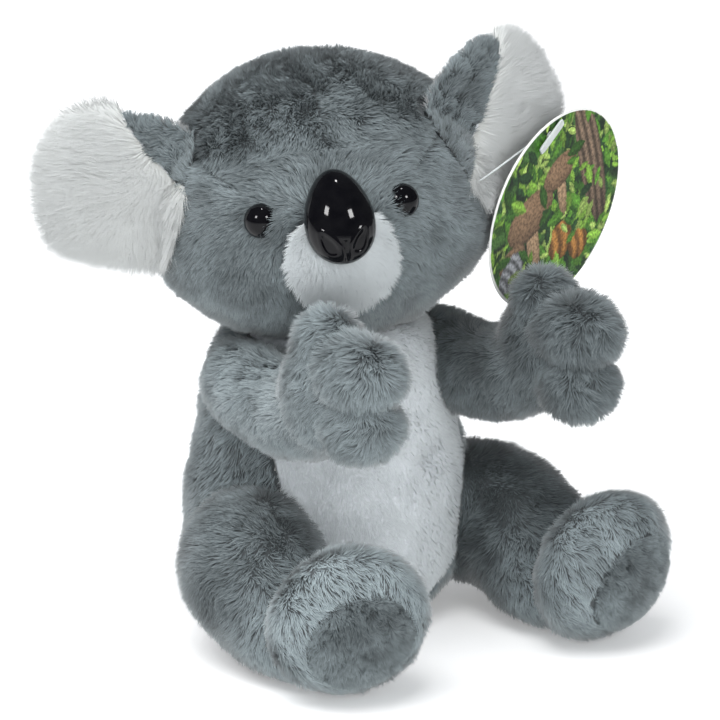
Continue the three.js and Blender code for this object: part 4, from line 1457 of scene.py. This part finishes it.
for seed, title in enumerate(("front", "back")):
    grow_pile(
        f"body_pile_{title}", body_skin, "body", "grey_plush", grey_pile,
        roots_drawn["half of body"], down, grey_length, seed=200 + 20 * seed,
        where=lambda roots, normals: bare_body(roots, title == "front"))
grow_pile("belly_pile", belly_skin, "body", "white_plush", white_pile, roots_drawn["belly"], down,
          1.9 * mm, width=fine_width, lean=50, tuft=0.9 * mm, cling=0.4, unruly=0.15,
          underside=False, where=lambda roots, normals: normals[:, 1] < 0.2, seed=260)


# %% Nap and pile of the arms
def arm_nap(side):
    """Down and a little outwards, so that it parts along the top of each form."""
    return lambda points: np.broadcast_to([0.3 * side, 0.1, -1.0], points.shape)


def outside_body(points, normals):
    """False where a limb lies against the body, whichever way its skin faces."""
    radius = body_radius(points[:, 2], -skin_depth)
    distance = np.hypot(points[:, 0], points[:, 1] * body_half_width / body_half_depth)
    return distance > radius + 1.2 * mm


def on_paw(points):
    """0 on the sleeve and 1 on the paw."""
    return ease(-points[:, 1], paw["forward"] - 24 * mm, paw["forward"] - 6 * mm)


def tone_between(tones, share):
    """A rule that goes from the first tone to the second as a share goes from 0 to 1."""
    return lambda points: tones[0] + (tones[1] - tones[0]) * share(points)


# Painted light and shade: the toy's left sleeve and paw darker, on the side away from the light,
# and its right sleeve lighter
sleeve_and_paw_painted_light = {"left": (-0.25, -0.24), "right": (0.1, 0.02)}
for seed, (name, side) in enumerate(sides.items()):
    grow_pile(f"arm_{name}_pile", arm_skins[name], "arm_" + name, "grey_plush", grey_pile,
              roots_drawn["arm"], arm_nap(side), grey_length, where=outside_body, unruly=0.45,
              height=lambda points: 1 + 0.25 * on_paw(points),
              shade=tone_between(sleeve_and_paw_painted_light[name], on_paw), seed=300 + 20 * seed)


# %% Pile of the legs and soles
def on_foot(points):
    """0 on the thigh and 1 on the foot."""
    return ease(-points[:, 1], knee["forward"] + 14 * mm, ankle["forward"] + 6 * mm)


def on_open_leg(points, normals, side):
    """False on the flat at the sole, under the leg and against the body."""
    off_sole = to_foot(points, side)[:, 1] > -sole_depth + 0.8 * mm
    return off_sole & (points[:, 2] > 1 * mm) & outside_body(points, normals)


def leg_nap(points, side):
    """Down from the knee on the thigh, forward to the sole's seam on the foot."""
    foot_part = on_foot(points)[:, None]
    thigh_way, foot_way = np.array([0.25 * side, 0.1, -1.0]), np.array([0, -1.0, -0.7])
    return thigh_way * (1 - foot_part) + foot_part * foot_way


def seam_height(points, side):
    """Shorter pile beside the sole's seam, which leaves a groove."""
    return 1 - 0.35 * bell(to_foot(points, side)[:, 1] + sole_depth, 1.3 * mm)


def sole_painted_shade(points, side):
    """Painted shade where the sole's pile would look dark: darkest high on its inner side and paler
    towards its lower rim.
    """
    local = to_foot(points, side)
    off = np.hypot(local[:, 0] + 5 * side * mm, local[:, 2] - 6 * mm)
    return 0.06 - 0.34 * bell(off, 16 * mm)


# Painted light and shade: the thighs darker and the feet lighter, where the pile would look so
# under light from above, and the toy's left leg darker than its right, on the side away from the
# light
thigh_and_foot_painted_light = {"left": (-0.42, 0.16), "right": (-0.2, 0.38)}
for seed, (name, side) in enumerate(sides.items()):
    to_seam = lambda points: seam_height(points, side)
    grow_pile(f"leg_{name}_pile", leg_skins[name], "leg_" + name, "grey_plush", grey_pile,
              roots_drawn["leg"], lambda points: leg_nap(points, side), grey_length, cling=0.14,
              unruly=0.25, where=lambda roots, normals: on_open_leg(roots, normals, side),
              height=to_seam, tilt=lambda points: 13 * on_foot(points),
              shade=tone_between(thigh_and_foot_painted_light[name], on_foot), seed=400 + 20 * seed)
    matrix, _ = foot_frame(side)
    grow_pile(f"sole_{name}_pile", sole_skins[name], "leg_" + name, "grey_plush", grey_pile,
              roots_drawn["sole"], down, 3.2 * mm, lean=26, unruly=1.2, height=to_seam,
              shade=lambda points: sole_painted_shade(points, side),
              where=lambda roots, normals: (normals @ matrix)[:, 1] < -0.05, seed=450 + 20 * seed)


# %% Pile of the ears
def ear_nap(points, name, start, behind, seamward=0.0, falling=0.0):
    """Fans the pile out from a start near the root, back by a share, and more so by the seam.
    Beside the root, the pile falls along it by another share."""
    local = to_ear(points, name)
    fan = np.stack([local[:, 0] - start, 0 * local[:, 0], 1.1 * local[:, 2]], -1)
    fan = fan / np.maximum(np.linalg.norm(fan, axis=1, keepdims=True), 8 * mm)
    by_root = falling * (1 - ease(local[:, 0], 0, 20 * mm))[:, None]
    fan = fan * (1 - by_root) + by_root * np.array([-0.4, 0, -1.0 * sides[name]])
    fan[:, 1] = behind + seamward * bell(local[:, 1] - ear_seam_back, 1.6 * mm)
    return (fan + [0.2, 0, 0] * (1 - by_root)) @ ear_frame(name)[0].T


def rim_height(points, name):
    """Shorter pile where the ear's back turns round to its seam, except on the fold."""
    local = to_ear(points, name)
    inward = ((local[:, 1] - ear_seam_back) / (2.6 * mm)).clip(0.45, 1)
    return np.where(in_fold(name, local), 1, inward)


front_fan_start, back_fan_start, ear_back_tone = -12 * mm, -10 * mm, -0.14
for seed, name in enumerate(sides):
    grow_pile(f"ear_front_{name}_pile", ear_skins[f"ear_front_{name}"], "ear_" + name,
              "white_ear_pile", ear_pile, roots_drawn["ear front"],
              lambda points: ear_nap(points, name, front_fan_start, -0.2, 0.35, 1.0), 6.6 * mm,
              width=0.19 * mm, lean=60, tuft=1.6 * mm, cling=0.12, unruly=0.1, ragged=0.6,
              hugging=False, underside=False, seed=500 + 20 * seed)
    grow_pile(f"ear_back_{name}_pile", ear_skins[f"ear_back_{name}"], "ear_" + name, "grey_plush",
              grey_pile, roots_drawn["ear back"],
              lambda points: ear_nap(points, name, back_fan_start, 1.1), 3.2 * mm, lean=42,
              unruly=0.7, shade=lambda points: ear_back_tone,
              height=lambda points: rim_height(points, name), seed=540 + 20 * seed)

# %% [markdown]
# ## Studio
# The toy stood on white under broad soft light. A large lamp stands high on the camera's left, a
# low one in front fills the shadows, one behind lights the rim, and the world fills the rest.
# These aren't mirrored. Three small lamps are only mirrored, as points of light in the eyes and
# the nose. The floor and the world show white to the camera, and the floor takes the shadow.

# %% Floor
def white_floor():
    """A pale floor: diffuse, so that it takes the shadow, and seen white further out."""
    floor_stops = [(0.3, (0.9, 0.9, 0.9)), (0.7, (0.92, 0.92, 0.92))]
    material = mottled("floor_white", 0.9, floor_stops, 0.25)
    tree = material.node_tree
    coordinates = tree.nodes.new("ShaderNodeTexCoord").outputs["Object"]
    away = add_node(tree, "VectorMath", {0: coordinates}, operation="LENGTH").outputs["Value"]
    near_glow, far_glow = 0.25, 1.0
    far = ramp(tree, [(0.3, near_glow), (1, far_glow)], away)
    seen_by_camera = tree.nodes.new("ShaderNodeLightPath").outputs["Is Camera Ray"]
    glow = mixed(tree, "MIX", seen_by_camera, (near_glow,) * 3, far)
    principled = tree.nodes["Principled BSDF"]
    tree.links.new(glow, principled.inputs["Emission Color"])
    principled.inputs["Emission Strength"].default_value = 1
    return material


floor_reach = 6.0
corners = np.array([(-1, -1, 0), (1, -1, 0), (1, 1, 0), (-1, 1, 0)]) * floor_reach
floor = linked("floor", new_mesh("floor", corners, [(0, 1, 2, 3)]))
floor.data.materials.append(white_floor())
floor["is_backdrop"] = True

# %% World
world = bpy.data.worlds.new("studio")
world.use_nodes = True
tree = world.node_tree
sky = (0.93, 0.96, 1)
seen = tree.nodes["Background"]
seen.inputs["Color"].default_value = (1, 1, 1, 1)
ambient = add_node(tree, "Background", {"Color": sky, "Strength": 0.55})
dim = add_node(tree, "Background", {"Color": sky, "Strength": 0.1})
path = tree.nodes.new("ShaderNodeLightPath").outputs
either = add_node(
    tree, "Math", {0: path["Is Camera Ray"], 1: path["Is Transmission Ray"]}, operation="MAXIMUM")


def chosen(factor, first, second):
    """A mix of two background shaders by a light path's factor."""
    return add_node(tree, "MixShader", {0: factor, 1: first, 2: second}).outputs[0]


lit = chosen(path["Is Glossy Ray"], ambient.outputs[0], dim.outputs[0])
surroundings = chosen(either.outputs[0], lit, seen.outputs[0])
tree.links.new(surroundings, tree.nodes["World Output"].inputs["Surface"])
bpy.context.scene.world = world


# %% Lamps
toy_middle = np.array([0, 0, 0.09])


def direction(azimuth, elevation):
    """The way from the toy to a station in degrees, 0 in front of it and 90 at its left."""
    a, e = math.radians(azimuth), math.radians(elevation)
    return np.array([math.sin(a) * math.cos(e), -math.cos(a) * math.cos(e), math.sin(e)])


def add_lamp(name, azimuth, elevation, distance, size, power, mirrored):
    """A square lamp that looks at the toy's middle. The large soft ones light the toy and aren't
    mirrored in its gloss, and the small ones are only mirrored."""
    lamp = bpy.data.lights.new(name, "AREA")
    lamp.size, lamp.energy = size, power
    holder, way = linked(name, lamp), Vector(direction(azimuth, elevation))
    holder.location = Vector(toy_middle) + way * distance
    holder.rotation_euler = way.to_track_quat("Z", "Y").to_euler()
    holder.visible_glossy, holder.visible_diffuse = mirrored, not mirrored


# name: azimuth and elevation in degrees, distance and size in metres, power in watts, mirrored
lamps = {
    "key": (-60, 66, 1.1, 0.8, 10.5, False),
    "fill": (-20, 8, 1.3, 0.9, 8, False),
    "back": (-125, 45, 1.3, 0.7, 5, False),
    "left_glint": (-75, 36, 1.2, 0.24, 6, True),
    "right_glint": (5, 36, 1.2, 0.24, 6, True),
    "top_glint": (135, 84, 1.2, 0.1, 1.6, True),
}
for name, settings in lamps.items():
    add_lamp(name, *settings)

# %% [markdown]
# ## Camera
# The photograph was taken from far off, 35 degrees to the toy's right and 16 degrees above. The
# camera looks at the point that lies in the middle of the picture.

# %% Camera at the photograph's angle
camera_azimuth, camera_elevation, camera_distance = -35, 16, 1.8
aim_right, aim_down = 9.91 * mm, 12.8 * mm
back = direction(camera_azimuth, camera_elevation)
turned = math.radians(camera_azimuth)
right = np.array([math.cos(turned), math.sin(turned), 0])
up = np.cross(back, right)
aim = toy_middle + aim_right * right - aim_down * up
lens = bpy.data.cameras.new("camera")
lens.sensor_width, lens.lens, lens.clip_end = 36, 299.7, 30
camera = linked("camera", lens)
camera.location = aim + camera_distance * back
camera.rotation_euler = Vector(back).to_track_quat("Z", "Y").to_euler()
bpy.context.scene.camera = camera
bpy.context.scene.view_settings.view_transform = "Standard"

# %% Sizes and finish
low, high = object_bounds()
proud = [*(cad_low - low), *(high - cad_high)]
print("proud of the solids, mm:", [round(1000 * side, 1) for side in proud])
